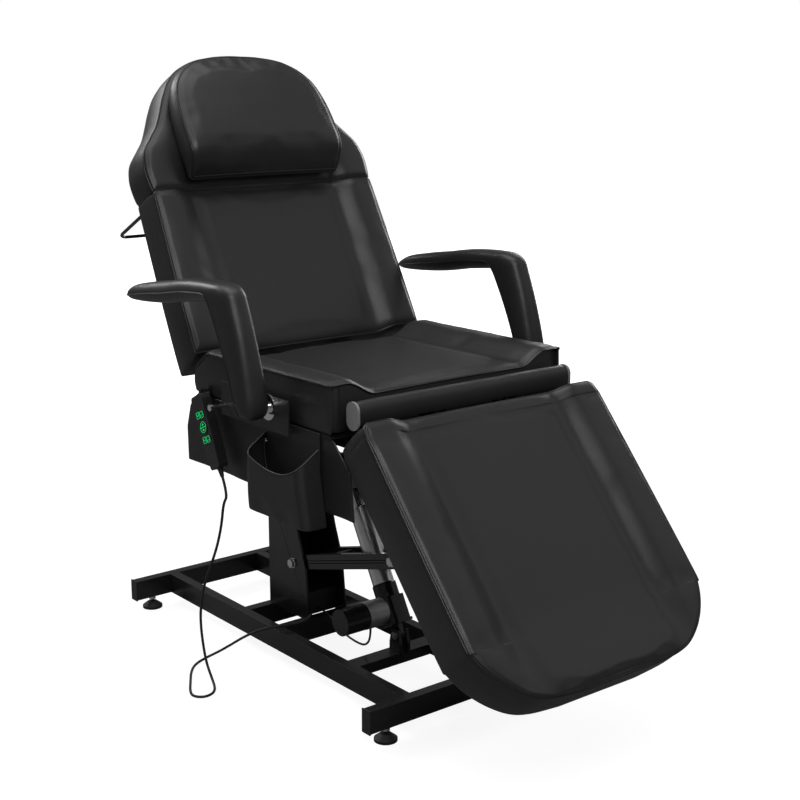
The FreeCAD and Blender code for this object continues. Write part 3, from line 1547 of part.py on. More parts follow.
def side_actuator(name, side, ahead, rod_y, z, tube_end, box_y):
    """Gear box, motor, tube and sliding rod; ahead is the rod's direction along Y."""
    x = dim.side_rod_x * side
    half = dim.side_box
    housing = box(
        f"{name}_box", (x - half, box_y, z - half), (half * 2, dim.side_box_long, rail_low - z + half)
    )
    box_face = box_y + dim.side_box_long if ahead > 0 else box_y
    start, finish = (box_face, tube_end) if ahead > 0 else (tube_end, box_face)
    tube = cylinder(f"{name}_tube", (x, start, z), dim.side_tube, finish - start, "Y")
    bore = cylinder(
        f"{name}_bore", (x, start, z), dim.side_rod + dim.rod_clearance, finish - start, "Y"
    )
    motor_x = x + half if side > 0 else x - half - dim.side_motor_long
    motor = cylinder(
        f"{name}_motor", (motor_x, box_y + dim.side_box_long / 2, z), dim.side_motor, dim.side_motor_long, "X"
    )
    node(fuse(name, cut(f"{name}_sleeve", tube, bore), housing, motor))
    reach = dim.side_eye
    inner = tube_end - dim.side_inside * ahead
    low, high = (inner, rod_y) if ahead > 0 else (rod_y, inner)
    rod = cylinder(f"{name}_rod_shaft", (x, low, z), dim.side_rod, high - low, "Y")
    eye_half = dim.side_rod - dim.play
    eye = cylinder(f"{name}_rod_eye", (x - eye_half, rod_y, z), reach, eye_half * 2, "X")
    inner_face = (dim.lever_x - dim.eye_thick / 2 - dim.play) * side
    pin_start = inner_face if side > 0 else x
    pin_length = dim.side_rod_x - dim.lever_x + dim.eye_thick / 2 + dim.play
    pin = cylinder(f"{name}_rod_pin", (pin_start, rod_y, z), dim.side_pin, pin_length, "X")
    washer_start = inner_face - dim.washer_thick if side > 0 else inner_face
    washer_radius = dim.slot_half + dim.bracket_plate / 2
    washer = cylinder(f"{name}_rod_washer", (washer_start, rod_y, z), washer_radius, dim.washer_thick, "X")
    node(fuse(f"{name}_rod", rod, eye, pin, washer))


# Soft forms, worked out from the sizes


def straight(a, b):
    return Part.LineSegment(a, b).toShape()


def bow(a, b, c):
    return Part.Arc(a, b, c).toShape()


def cushion_section(y, tilt, half, low, top, dip, wing, slope, bulge, crown, edge):
    """A section across a cushion: flat below, bellied sides, crowned wings and middle."""

    def at(x, z):
        return Vector(x, y + tilt * (z - low), z)

    wing = min(wing, half * 0.42)
    slope = min(slope, half * 0.2)
    high = top - edge
    inner = half - wing
    floor = inner - slope
    right = [
        at(half - bulge, low),
        at(half, (low + high) / 2),
        at(half - bulge, high),
        at(half - bulge - edge * 0.25, top - edge * 0.27),
        at(half - bulge - edge, top - edge * 0.04),
        at(half - (wing + edge) / 2, top + edge * 0.12),
        at(inner, top - edge * 0.12),
        at(floor, top - dip),
    ]
    left = [Vector(-p.x, p.y, p.z) for p in right]
    return Part.Wire(
        [
            straight(left[0], right[0]),
            bow(right[0], right[1], right[2]),
            bow(right[2], right[3], right[4]),
            bow(right[4], right[5], right[6]),
            straight(right[6], right[7]),
            bow(right[7], at(0, top - dip + crown), left[7]),
            straight(left[7], left[6]),
            bow(left[6], left[5], left[4]),
            bow(left[4], left[3], left[2]),
            bow(left[2], left[1], left[0]),
        ]
    )


def loft(wires):
    shape = Part.makeLoft(wires, True, True)
    if not shape.isValid() or shape.Volume <= 0:
        raise RuntimeError("a loft isn't valid")
    return shape


def rounded_section(centre, across, up, half_across, half_up, radius):
    """A rectangle with round corners in the plane of two directions."""
    w, h, r = half_across, half_up, min(radius, half_across * 0.95, half_up * 0.95)
    k = r * (1 - math.sqrt(0.5))

    def at(a, u):
        return centre + across * a + up * u

    return Part.Wire(
        [
            straight(at(-w + r, -h), at(w - r, -h)),
            bow(at(w - r, -h), at(w - k, -h + k), at(w, -h + r)),
            straight(at(w, -h + r), at(w, h - r)),
            bow(at(w, h - r), at(w - k, h - k), at(w - r, h)),
            straight(at(w - r, h), at(-w + r, h)),
            bow(at(-w + r, h), at(-w + k, h - k), at(-w, h - r)),
            straight(at(-w, h - r), at(-w, -h + r)),
            bow(at(-w, -h + r), at(-w + k, -h + k), at(-w + r, -h)),
        ]
    )


def make_seat_cushion():
    low, thick = float(dim.seat_low), float(dim.seat_thick)
    edge, dip = float(dim.cushion_edge), float(dim.cushion_dip)
    front, rear = -float(dim.seat_front), float(dim.seat_back)
    half = float(dim.seat_half) - float(dim.cushion_gap)
    gap = float(dim.cushion_gap)
    wires = []
    for along, wide, drop, share in SEAT_SHARES:
        wires.append(
            cushion_section(
                front + (rear - front) * along, 0, half * wide,
                low + gap, low + thick * (1 - drop), dip * share,
                float(dim.bolster_wide), float(dim.bolster_slope),
                float(dim.side_bulge), float(dim.crown), edge,
            )
        )
    node(shaped("seat_cushion", loft(wires)))
    board_wide = dim.seat_half * 2 - dim.board_inset * 2
    node(
        box(
            "seat_board",
            (-dim.seat_half + dim.board_inset, -dim.seat_rail_front, rail_top),
            (board_wide, dim.seat_rail_front + dim.seat_rail_rear, dim.board_thick),
        )
    )


# Sections of the seat cushion from its front to its rear, as shares: of its depth, of its half
# width, lowered by a share of its thickness, and the share of the dip that is left
SEAT_SHARES = [
    (0, 0.9806, 0.0971, 1), (0.0156, 1, 0, 1), (0.2339, 1, 0, 1),
    (0.8694, 1, 0.0388, 1), (0.9279, 1, 0.2621, 0.8), (0.9805, 0.9903, 0.466, 0.5),
    (1, 0.9742, 0.5825, 0.4),
]

# Outlines of the back, the head and the leg rest, as shares of their length and of the seat's
# half width; the pillow's are shares of its own length, half width and thickness
BACK_SHARES = [
    (0, 0.9935), (0.0263, 1.0129), (0.3158, 1.0032), (0.6842, 0.9871), (0.9789, 0.9742),
    (1, 0.9645),
]
HEAD_SHARES = [
    (0, 0.9548), (0.0244, 0.971), (0.2012, 0.9774), (0.2957, 0.9226), (0.3872, 0.8387),
    (0.4756, 0.7839), (0.5732, 0.7484), (0.686, 0.6903), (0.8018, 0.6032), (0.878, 0.5161),
    (0.9329, 0.4129), (0.9726, 0.2968), (1, 0.1484),
]
LEG_SHARES = [
    (0, 0.9677), (0.0199, 1), (0.0993, 1.0065), (0.7285, 1.0065), (0.7947, 0.9871),
    (0.8609, 0.9226), (0.9205, 0.8194), (0.9685, 0.6839), (0.9901, 0.5355), (1, 0.3097),
]
PILLOW_SHARES = [
    (0, 0.9756, 0.35), (0.0333, 1, 0.62), (0.28, 1.0049, 1), (0.5, 1, 0.86),
    (0.74, 0.9561, 0.62), (0.8733, 0.8293, 0.5), (0.9467, 0.6829, 0.42), (1, 0.4098, 0.3),
]


def make_back_cushions():
    place_back = turned_about_x(dim.back_hinge_y, dim.back_hinge_z, 90 - float(dim.back_lean))
    face, thick = float(dim.back_face), float(dim.back_thick)
    start, gap = float(dim.back_start), float(dim.cushion_gap)
    low = face - thick + gap
    edge, half = float(dim.cushion_edge), float(dim.seat_half)

    def section(y, half, tilt=0.0, soften=0.0, share=1.0):
        return cushion_section(
            y, tilt, half, low, face - soften, float(dim.back_dip) * share,
            float(dim.back_wing), float(dim.back_slope),
            float(dim.side_bulge), float(dim.crown), edge,
        )

    lower_tilt = float(dim.heel_tilt)
    wires = []
    for reach, wide in BACK_SHARES:
        along = float(dim.back_length) * reach
        share = max(0.0, 1 - along / float(dim.heel_blend))
        y = start + along - lower_tilt * thick * share
        soften = edge * 0.8 if reach in (0, 1) else 0
        wires.append(section(y, half * wide, lower_tilt * share, soften))
    node(shaped("back_cushion", loft(wires), place_back))
    head_start = start + float(dim.back_length) + gap
    wires = []
    last = float(dim.head_length)
    for reach, wide in HEAD_SHARES:
        along = last * reach
        soften = edge * 0.8 if reach == 0 else max(0.0, edge * 1.6 - (last - along) * 0.7)
        share = max(0.0, 1 - along / float(dim.head_fade))
        wires.append(section(head_start + along, half * wide, 0, soften, share))
    node(shaped("head_cushion", loft(wires), place_back))
    rest = face + float(dim.crown) + gap
    wires = []
    for reach, wide, share in PILLOW_SHARES:
        tall = float(dim.pillow_thick) * share / 2
        y = head_start + float(dim.pillow_start) + float(dim.pillow_length) * reach
        across = float(dim.pillow_half) * wide
        wires.append(
            rounded_section(
                Vector(0, y, rest + tall), Vector(1, 0, 0), Vector(0, 0, 1), across, tall, tall * 0.9
            )
        )
    node(shaped("head_pillow", loft(wires), place_back))


def make_leg_cushion():
    place_leg = turned_about_x(-float(dim.leg_hinge_y), dim.leg_hinge_z, dim.leg_drop)
    face, thick, gap = float(dim.leg_face), float(dim.leg_thick), float(dim.cushion_gap)
    edge, half = float(dim.cushion_edge), float(dim.seat_half)
    last = float(dim.leg_length)
    wires = []
    for reach, wide in LEG_SHARES:
        along = last * reach
        soften = edge * 0.8 if reach == 0 else max(0.0, edge * 1.4 - (last - along) * 0.7)
        share = min(1.0, (last - along) / float(dim.leg_fade))
        wires.append(
            cushion_section(
                -float(dim.leg_start) - along, 0, half * wide, face - thick + gap, face - soften,
                float(dim.back_dip) * share, float(dim.back_wing), float(dim.back_slope),
                float(dim.side_bulge), float(dim.crown), edge,
            )
        )
    node(shaped("leg_cushion", loft(wires), place_leg))


def make_filler_roll():
    """The padded roll over the leg hinge, hollow below, and its two end plates."""
    y, z = -float(dim.leg_hinge_y), float(dim.leg_hinge_z)
    half, tall, deep = float(dim.roll_half), float(dim.roll_tall) / 2, float(dim.roll_deep) / 2
    across, up = Vector(0, 1, 0), Vector(0, 0, 1)

    def slice_at(x):
        return rounded_section(Vector(x, y, z), across, up, deep, tall, deep * 0.94)

    roll = loft([slice_at(-half), slice_at(half)])
    shaft = float(dim.shaft_radius) + float(dim.play) * 2
    channel_corner = Vector(-half * 1.5, y - shaft, z + shaft - tall * 2)
    channel = Part.makeBox(half * 3, shaft * 2, tall * 2, channel_corner)
    notch_low = float(dim.leg_bracket_x) - float(dim.eye_thick)
    notch_high = float(dim.leg_eye_x + dim.eye_thick + dim.washer_thick + dim.play)
    top = float(dim.eye_radius) + float(dim.play) * 2
    tools = [channel]
    for low, high in (
        (notch_low, notch_high),
        (-notch_high, -notch_low),
        (float(dim.lever_x) - float(dim.eye_thick), float(dim.lever_x) + float(dim.eye_thick)),
    ):
        corner = Vector(low, y - deep * 2, z + top - tall * 4)
        tools.append(Part.makeBox(high - low, deep * 4, tall * 4, corner))
    node(shaped("filler_roll", roll.cut(tools[0]).cut(tools[1]).cut(tools[2]).cut(tools[3])))
    cap = float(dim.roll_cap)
    caps = [
        loft([slice_at(x), slice_at(x + cap)]) for x in (-half - cap, half)
    ]
    node(shaped("roll_end_plates", Part.makeCompound(caps)))


def make_towel_rail():
    """A round rod bent round the back, from one side board to the other."""
    y = float(dim.back_start) + float(dim.towel_rise)
    near = float(dim.back_face) - float(dim.back_thick) - float(dim.board_thick)
    far = near - float(dim.towel_reach)
    half = float(dim.towel_half)
    points = [Vector(-half, y, near), Vector(-half, y, far), Vector(half, y, far), Vector(half, y, near)]
    shape, least, error = tube_along(points, float(dim.towel_wire), float(dim.towel_bend))
    place_back = turned_about_x(dim.back_hinge_y, dim.back_hinge_z, 90 - float(dim.back_lean))
    node(shaped("towel_rail", shape, place_back))


# Armrest centre line from the hub: shares of its reach, of its rise and of its half depth
ARM_SHARES = [
    (-0.0065, -0.0864, 0.4615), (-0.0065, -0.0682, 0.7692), (-0.0022, 0.0364, 0.9231),
    (0.0259, 0.2273, 0.8462), (0.0821, 0.5091, 0.8846), (0.1339, 0.7545, 0.9231),
    (0.1728, 0.9182, 1), (0.2419, 1, 0.9231), (0.3672, 0.9864, 0.8846), (0.6479, 0.9318, 0.8462),
    (0.9071, 0.8682, 0.8077), (0.9827, 0.85, 0.6154), (1, 0.8455, 0.3077),
]


def make_armrests():
    across = Vector(1, 0, 0)
    radius, half, deep = float(dim.arm_corner), float(dim.arm_wide) / 2, float(dim.arm_deep)
    hub_y, hub_z = -float(dim.hub_ahead), float(dim.hub_z)
    line = [
        (Vector(0, hub_y + float(dim.arm_reach) * y, hub_z + float(dim.arm_rise) * z), thin)
        for y, z, thin in ARM_SHARES
    ]
    last, full = len(line) - 1, 0.7
    tip = deep * 0.4
    for side, sign in (("left", 1), ("right", -1)):
        wires = []
        for number, (centre, thin) in enumerate(line):
            run = (line[min(last, number + 1)][0] - line[max(0, number - 1)][0]).normalize()
            middle = centre + across * float(dim.arm_x) * sign
            wide = half - tip * max(0.0, full - thin)
            wires.append(rounded_section(middle, across, across.cross(run), wide, deep * thin, radius))
        pad_shape = loft(wires)
        reach = (float(dim.arm_x) - half - float(dim.play)) * sign
        stub = float(dim.hub_stub) + float(dim.shaft_clearance)
        bore = Part.makeCylinder(
            stub,
            float(dim.stub_depth) + float(dim.play) * 3,
            Vector(reach, -float(dim.hub_ahead), float(dim.hub_z)),
            Vector(sign, 0, 0),
        )
        node(shaped(f"armrest_{side}", pad_shape.cut(bore)))


# Skirts and pocket


def make_skirts():
    """Hanging side flaps with front wings, notched for the arm plates' feet."""
    pieces = []
    for side, sign in (("left", 1), ("right", -1)):
        x = dim.seat_half - dim.board_inset
        middle = (x + dim.skirt_thick / 2) * sign
        top = dim.seat_low - dim.skirt_down
        body = new_body(f"skirt_flap_{side}")
        sketch = sketch_on(body, "YZ_Plane", "outline")
        draw_polygon(
            sketch,
            [
                (-dim.flap_front, dim.skirt_low),
                (dim.flap_rear, dim.skirt_low),
                (dim.flap_rear + dim.skirt_down, dim.skirt_low + dim.flap_bend),
                (dim.flap_rear - dim.flap_slope / 4, dim.skirt_low + dim.flap_knee),
                (dim.flap_rear - dim.flap_slope, top),
                (-dim.flap_front, top),
            ],
        )
        pad(body, sketch, "flap", dim.skirt_thick, middle=True)
        notches = sketch_on(body, "YZ_Plane", "notches")
        for y in (-dim.hub_ahead, dim.lock_y - dim.plate_foot_wide / 2):
            half = dim.plate_foot_wide / 2 + dim.play
            low = dim.plate_low - dim.play
            high = dim.plate_low + dim.plate_foot + dim.play
            draw_polygon(notches, [(y - half, low), (y + half, low), (y + half, high), (y - half, high)])
        pocket(body, notches, "feet", dim.skirt_thick * 3, middle=True)
        place(body, (middle, 0, 0))
        wing = new_body(f"skirt_wing_{side}")
        sketch = sketch_on(wing, "YZ_Plane", "outline")
        under = rail_top
        draw_polygon(
            sketch,
            [
                (-dim.wing_rear, under),
                (-dim.seat_front - dim.play * 2, under),
                (-dim.seat_front - dim.wing_knee, under - dim.wing_knee),
                (-dim.wing_front + dim.wing_knee / 2, under - dim.wing_bend),
                (-dim.wing_front, dim.skirt_low),
                (-dim.wing_rear, dim.skirt_low),
            ],
        )
        pad(wing, sketch, "wing", dim.skirt_thick, middle=True)
        place(wing, ((x - dim.skirt_thick / 2) * sign, 0, 0))
        pieces += [body, wing]
    node(group("side_skirts", *pieces))


def make_pocket():
    """A padded pocket, open at the top, with a scooped lip and a sloping side."""
    outer = -dim.seat_half
    wall, depth = dim.pocket_wall, dim.pocket_depth
    x0 = outer - depth
    y0, length = -dim.pocket_front, dim.pocket_long
    low, tall = dim.pocket_low, dim.pocket_top - dim.pocket_low + dim.pocket_slope
    block = box("pocket_block", (x0, y0, low), (depth, length, tall))
    hollow = box(
        "pocket_hollow", (x0 + wall, y0 + wall, low + wall), (depth - wall * 2, length - wall * 2, tall * 2)
    )
    slope = box("pocket_slope_cut", (0, 0, 0), (depth * 4, length * 2, tall))
    lean = Size(
        math.degrees(math.atan2(float(dim.pocket_slope), float(depth - wall))),
        f"atan2(Dimensions.pocket_slope; {(depth - wall).text}) / 1 deg",
    )
    place(slope, (x0 - depth, y0 - length / 2, dim.pocket_top - dim.pocket_slope), (0, 1, 0), -lean)
    radius = dim.pocket_scoop
    scoop = cylinder(
        "pocket_scoop_cut",
        (x0 - wall, y0 + length / 2, dim.pocket_top - dim.pocket_dip + radius),
        radius,
        depth - wall * 2,
        "X",
    )
    node(cut("skirt_pocket", block, hollow, slope, scoop))


# Handset, its hook and its cord


def on_handset(item, x=0, y=0, z=0):
    """Places an item in the frame of the handset, which hangs tilted on its hook."""
    tilt = -dim.handset_tilt
    y, z = as_size(y), as_size(z)
    at_y = dim.handset_y + y * cosine(tilt) - z * sine(tilt)
    at_z = dim.handset_z + y * sine(tilt) + z * cosine(tilt)
    return place(item, (as_size(x) - dim.handset_x, at_y, at_z), (1, 0, 0), tilt)


def handset_outline(inset):
    """Outline of the handset seen from its face: wide above, narrower below."""
    wide, half = dim.handset_wide / 2 - inset, dim.handset_length / 2 - inset
    return [
        (-wide * 0.78, -half), (wide * 0.78, -half), (wide, -half * 0.2), (wide, half * 0.86),
        (wide * 0.8, half), (-wide * 0.8, half), (-wide, half * 0.86), (-wide, -half * 0.2),
    ]


BUTTONS = [
    ("button_back_up", "left", "button_row_top"),
    ("button_back_down", "right", "button_row_top"),
    ("button_lift_up", "up", "button_row_upper"),
    ("button_lift_down", "down", "button_row_lower"),
    ("button_leg_up", "left", "button_row_low"),
    ("button_leg_down", "right", "button_row_low"),
]


def button_outline(kind, row, grow):
    """Corners of a button's face in the handset's frame, seen along X."""
    middle = getattr(dim, row)
    if kind in ("left", "right"):
        sign = 1 if kind == "left" else -1
        near, far = dim.button_split - grow, dim.button_split + dim.button_wide + grow
        high, low = dim.button_tall / 2 + grow, dim.button_tall / 2 * 0.72 + grow
        points = [(near, -high), (far, -low), (far, low), (near, high)]
        return [(y * sign, middle + z) for y, z in points]
    sign = 1 if kind == "up" else -1
    wide, tall = dim.disc_half + grow, dim.disc_tall + grow * 2
    points = []
    for step in range(7):
        angle = Size(30 * step, str(30 * step))
        points.append((wide * cosine(angle), tall * sine(angle) - tall / 2))
    return [(y, middle + z * sign) for y, z in points]


def make_handset():
    half = dim.handset_thick / 2
    front = new_body("handset_front_shell")
    sketch = sketch_on(front, "YZ_Plane", "outline")
    draw_polygon(sketch, handset_outline(as_size(0)))
    face = pad(front, sketch, "face", half, reverse=True)
    round_edges(front, face, edges_along(face.Shape, (1, 0, 0)), "corners", dim.handset_corner)
    openings = sketch_on(front, "YZ_Plane", "openings", -half)
    for name, kind, row in BUTTONS:
        draw_polygon(openings, button_outline(kind, row, dim.button_gap))
    pocket(front, openings, "button_openings", dim.button_deep, reverse=True)
    node(on_handset(front))
    back = new_body("handset_back_shell")
    sketch = sketch_on(back, "YZ_Plane", "outline")
    draw_polygon(sketch, handset_outline(as_size(0)))
    rear = pad(back, sketch, "rear", half)
    round_edges(back, rear, edges_along(rear.Shape, (1, 0, 0)), "corners", dim.handset_corner)
    tab = sketch_on(back, "YZ_Plane", "tab", half - dim.tab_thick)
    top = dim.handset_length / 2
    wide = dim.tab_wide / 2
    draw_polygon(
        tab,
        [
            (-wide, top - wide), (wide, top - wide),
            (wide, top + dim.tab_tall * 0.7), (wide * 0.5, top + dim.tab_tall),
            (-wide * 0.5, top + dim.tab_tall), (-wide, top + dim.tab_tall * 0.7),
        ],
    )
    pad(back, tab, "hanging_tab", dim.tab_thick)
    hole = sketch_on(back, "YZ_Plane", "tab_hole")
    draw_circle(hole, (0, top + dim.tab_tall / 2), dim.hook_radius + dim.play / 2)
    pocket(back, hole, "hanging_hole", half * 4, middle=True)
    on_handset(back)
    for name, kind, row in BUTTONS:
        body = new_body(name)
        sketch = sketch_on(body, "YZ_Plane", "outline")
        draw_polygon(sketch, button_outline(kind, row, as_size(0)))
        pad(body, sketch, "key", dim.button_body, reverse=True)
        node(on_handset(body, x=dim.button_body - dim.button_proud - half))
    relief = turned_body(
        "handset_strain_relief",
        [
            (dim.cord_radius * 0.5, 0), (dim.relief_tip, 0), (dim.relief_root, dim.relief_long),
            (dim.cord_radius * 0.5, dim.relief_long),
        ],
    )
    on_handset(relief, z=-dim.handset_length / 2 - dim.relief_long)
    node(group("handset_rear", back, relief))
    hook_y = dim.handset_y + (top + dim.tab_tall / 2) * sine(dim.handset_tilt)
    hook_z = dim.handset_z + (top + dim.tab_tall / 2) * cosine(dim.handset_tilt)
    strip = box(
        "hook_strip",
        (-dim.seat_half - dim.play - dim.hook_strip, hook_y - dim.hook_wide / 2, hook_z - dim.hook_tall),
        (dim.hook_strip, dim.hook_wide, dim.hook_tall + dim.hook_wide / 2),
    )
    peg_end = -dim.handset_x + half - dim.tab_thick - dim.play * 2
    peg = cylinder(
        "hook_peg",
        (peg_end, hook_y, hook_z),
        dim.hook_radius,
        -dim.seat_half - dim.play - peg_end,
        "X",
    )
    tip = cylinder(
        "hook_tip", (peg_end - dim.play * 3, hook_y, hook_z), dim.hook_radius * 1.6, dim.play * 3, "X"
    )
    spacer = cylinder(
        "hook_spacer",
        (-dim.seat_half - dim.play, hook_y, hook_z - dim.hook_tall + dim.hook_wide / 2),
        dim.hook_radius * 2,
        dim.play,
        "X",
    )
    node(fuse("handset_hook", strip, peg, tip, spacer))


def tube_along(points, radius, bend=None):
    """A round tube through straight runs joined by tangent arcs.

    Returns the solid, the least bend radius and the error of its volume against the
    section times the length of the centre line.
    """
    runs = [points[i + 1] - points[i] for i in range(len(points) - 1)]
    edges, radii = [], []
    at = points[0]
    for i in range(1, len(points) - 1):
        before, after = runs[i - 1], runs[i]
        turn = before.getAngle(after)
        shorter = min(before.Length, after.Length)
        arc_radius = 0.45 * shorter / math.tan(turn / 2)
        if bend:
            arc_radius = min(arc_radius, bend)
        setback = arc_radius * math.tan(turn / 2)
        u, v = Vector(before).normalize(), Vector(after).normalize()
        start, finish = points[i] - u * setback, points[i] + v * setback
        inward = (v - u).normalize()
        middle = points[i] + inward * (arc_radius / math.cos(turn / 2) - arc_radius)
        edges.append(straight(at, start))
        edges.append(bow(start, middle, finish))
        radii.append(arc_radius)
        at = finish
    edges.append(straight(at, points[-1]))
    path = Part.Wire(edges)
    ring = Part.Wire([Part.makeCircle(radius, points[0], runs[0])])
    solid = path.makePipeShell([ring], True, False)
    expected = math.pi * radius ** 2 * path.Length
    return solid, min(radii), solid.Volume / expected - 1


# Cord points from beside the lower lift pivot, as shares of the handset's distance from the
# middle, of the pivot's distance behind the origin and of its height
HANGING_SHARES = [
    (0.99405, 0.82772, 1), (0.99702, 0.77528, 1.16588), (0.99702, 0.65169, 1.4218),
    (0.99702, 0.55431, 1.65403), (0.99702, 0.48315, 1.89573), (1, 0.44195, 2.1327),
]
FLOOR_SHARES = [
    (0.99405, 0.82772, 1), (0.99107, 0.8764, 0.81517), (0.98512, 0.89139, 0.60664),
    (0.97917, 0.8764, 0.3981), (0.97619, 0.83895, 0.20853), (0.97619, 0.75655, 0.06635),
    (1.00595, 0.64419, 0.01896), (1.0625, 0.55805, 0.01896), (1.14286, 0.53933, 0.01896),
    (1.19345, 0.61798, 0.01896), (1.16369, 0.72285, 0.01896), (1.08333, 0.8839, 0.01896),
    (1.00595, 1.0412, 0.01896), (0.91667, 1.16854, 0.01896), (0.80357, 1.22097, 0.02844),
    (0.72024, 1.16105, 0.09479), (0.66071, 1.06367, 0.19905), (0.60119, 0.9588, 0.3128),
    (0.52976, 0.84644, 0.40758), (0.43452, 0.75655, 0.44076), (0.32738, 0.69663, 0.44076),
    (0.22024, 0.70412, 0.45024), (0.13095, 0.77154, 0.46919),
]

# Motor leads: shares of the motor's length, of the way from it to the control box and of the
# height of the base tubes
LEAD_SHARES = [
    (0.51724, 0, 1.45679), (0.51724, 0.06501, 1.18519), (0.48276, 0.19397, 1.11111),
    (0.41379, 0.35876, 1.08642), (0.31034, 0.52355, 1.08642), (0.18966, 0.68834, 1.08642),
    (0.06897, 0.84596, 1.12346),
]


def make_cord():
    """The handset's cord in two pieces that meet beside the lower lift pivot."""
    tilt = math.radians(float(dim.handset_tilt))
    reach = float(dim.handset_length) / 2 + float(dim.relief_long)
    exit_at = Vector(
        -float(dim.handset_x),
        float(dim.handset_y) - reach * math.sin(tilt),
        float(dim.handset_z) - reach * math.cos(tilt),
    )
    down = Vector(0, -math.sin(tilt), -math.cos(tilt))
    radius = float(dim.cord_radius)

    def beside_pivot(shares):
        side, y, z = float(dim.handset_x), float(pivot_y), float(pivot_z)
        return [Vector(-side * a, y * b, z * c) for a, b, c in shares]

    hanging = beside_pivot(HANGING_SHARES) + [exit_at + down * float(dim.relief_long) * 2.1, exit_at]
    hanging[0] += (hanging[1] - hanging[0]).normalize() * float(dim.cushion_gap)
    floor_points = beside_pivot(FLOOR_SHARES)
    inlet = float(dim.base_centre_y + dim.box_front)
    floor_points.append(Vector(-float(dim.inlet_x), inlet, float(tube_top + dim.inlet_rise)))
    motor_y = float(pin_y + sine(dim.actuator_lean) * dim.motor_axis)
    below = dim.motor_radius + dim.band_thick + dim.cushion_gap
    motor_z = float(pin_z + cosine(dim.actuator_lean) * dim.motor_axis - below)
    side, run, rise = float(dim.motor_length), inlet - motor_y, float(tube_top)
    leads = [Vector(-side * a, motor_y + run * b, rise * c) for a, b, c in LEAD_SHARES]
    leads = [Vector(leads[0].x, motor_y, motor_z)] + leads
    leads.append(Vector(0, inlet, float(tube_top + dim.lead_rise)))
    for name, points, radius in (
        ("handset_cord_hanging", hanging, radius),
        ("handset_cord_floor", floor_points, radius),
        ("motor_leads", leads, float(dim.lead_radius)),
    ):
        solid, least, error = tube_along(points, radius)
        print(f"{name}: least bend radius {least:.1f} mm, volume error {error * 100:.2f} %")
        node(shaped(name, solid))


def make_control_box():
    """The control box between the pedestal's plates, with a boss for the cord."""
    y = dim.base_centre_y
    node(
        box(
            "control_box",
            (-dim.box_wide / 2, y + dim.box_front, tube_top),
            (dim.box_wide, dim.box_long, dim.box_tall),
        )
    )


def check_and_export():
    os.makedirs(NODE_FOLDER, exist_ok=True)
    document.recompute()
    for item in document.Objects:
        if "Invalid" in item.State or "Error" in item.State:
            raise RuntimeError(f"{item.Name}: {item.State}")
    for item in nodes:
        shape = item.Shape
        if shape.isNull() or not shape.isValid() or shape.Volume <= 0:
            raise RuntimeError(f"{item.Label}: bad shape")
        shape.exportStep(os.path.join(NODE_FOLDER, f"{item.Label}.step"))
    print(f"{len(nodes)} sub-parts written")


make_base()
make_feet()
make_pedestal()
make_bolts()
make_arms()
make_carriage()
make_lift_actuator()
make_seat_frame()
make_seat_cushion()
make_arm_mounts()
make_back_frame()
make_leg_frame()
make_side_actuators()
make_back_cushions()
make_leg_cushion()
make_filler_roll()
make_towel_rail()
make_armrests()
make_skirts()
make_pocket()
make_handset()
make_cord()
make_control_box()
check_and_export()
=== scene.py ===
"""Looks of an electric tattoo chair: upholstery, cords, handset symbols and every finish.

The frame is in metres with +Z up. X is the chair's width with the sitter's left on +X, and the
chair faces -Y. The sizes of the upholstery, the skirts, the pocket and the symbols are in
millimetres, which Shape turns into metres; cords, finishes and studio are in metres.
"""

import logging
import math
from dataclasses import dataclass, field
from enum import Enum
from typing import Any, Callable, Mapping, Optional, Sequence

import bmesh
import bpy
import numpy as np
from mathutils import Matrix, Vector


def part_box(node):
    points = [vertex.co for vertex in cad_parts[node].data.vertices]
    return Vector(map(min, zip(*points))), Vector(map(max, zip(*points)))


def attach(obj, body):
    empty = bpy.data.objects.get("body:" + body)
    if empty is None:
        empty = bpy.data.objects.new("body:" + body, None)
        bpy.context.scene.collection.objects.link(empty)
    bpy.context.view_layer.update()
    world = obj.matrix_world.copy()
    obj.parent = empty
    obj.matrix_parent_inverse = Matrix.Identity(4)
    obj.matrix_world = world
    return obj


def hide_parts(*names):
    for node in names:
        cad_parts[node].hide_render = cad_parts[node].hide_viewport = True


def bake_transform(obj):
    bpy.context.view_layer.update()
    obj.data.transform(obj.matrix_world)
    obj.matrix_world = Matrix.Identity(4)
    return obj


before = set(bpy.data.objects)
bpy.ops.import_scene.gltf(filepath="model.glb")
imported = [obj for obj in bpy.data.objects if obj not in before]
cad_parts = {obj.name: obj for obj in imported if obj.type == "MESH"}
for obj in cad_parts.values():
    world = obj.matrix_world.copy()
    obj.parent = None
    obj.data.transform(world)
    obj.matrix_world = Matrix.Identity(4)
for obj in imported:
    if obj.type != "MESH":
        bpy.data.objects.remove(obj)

LOG = logging.getLogger("tattoo_chair")
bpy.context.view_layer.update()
Array = np.ndarray
Pair = tuple[float, float]
Triple = tuple[float, float, float]
MM = 0.001
# Keeps a divisor away from zero.
TINY = 1e-9
# Vertices that are nearer than this, in metres, are merged.
SAME_PLACE = 0.00001
# Sockets of a Mix node's two colours and of its result, by number because their names repeat.
MIX_LOW, MIX_HIGH, MIX_RESULT = 6, 7, 2


# Shader maths


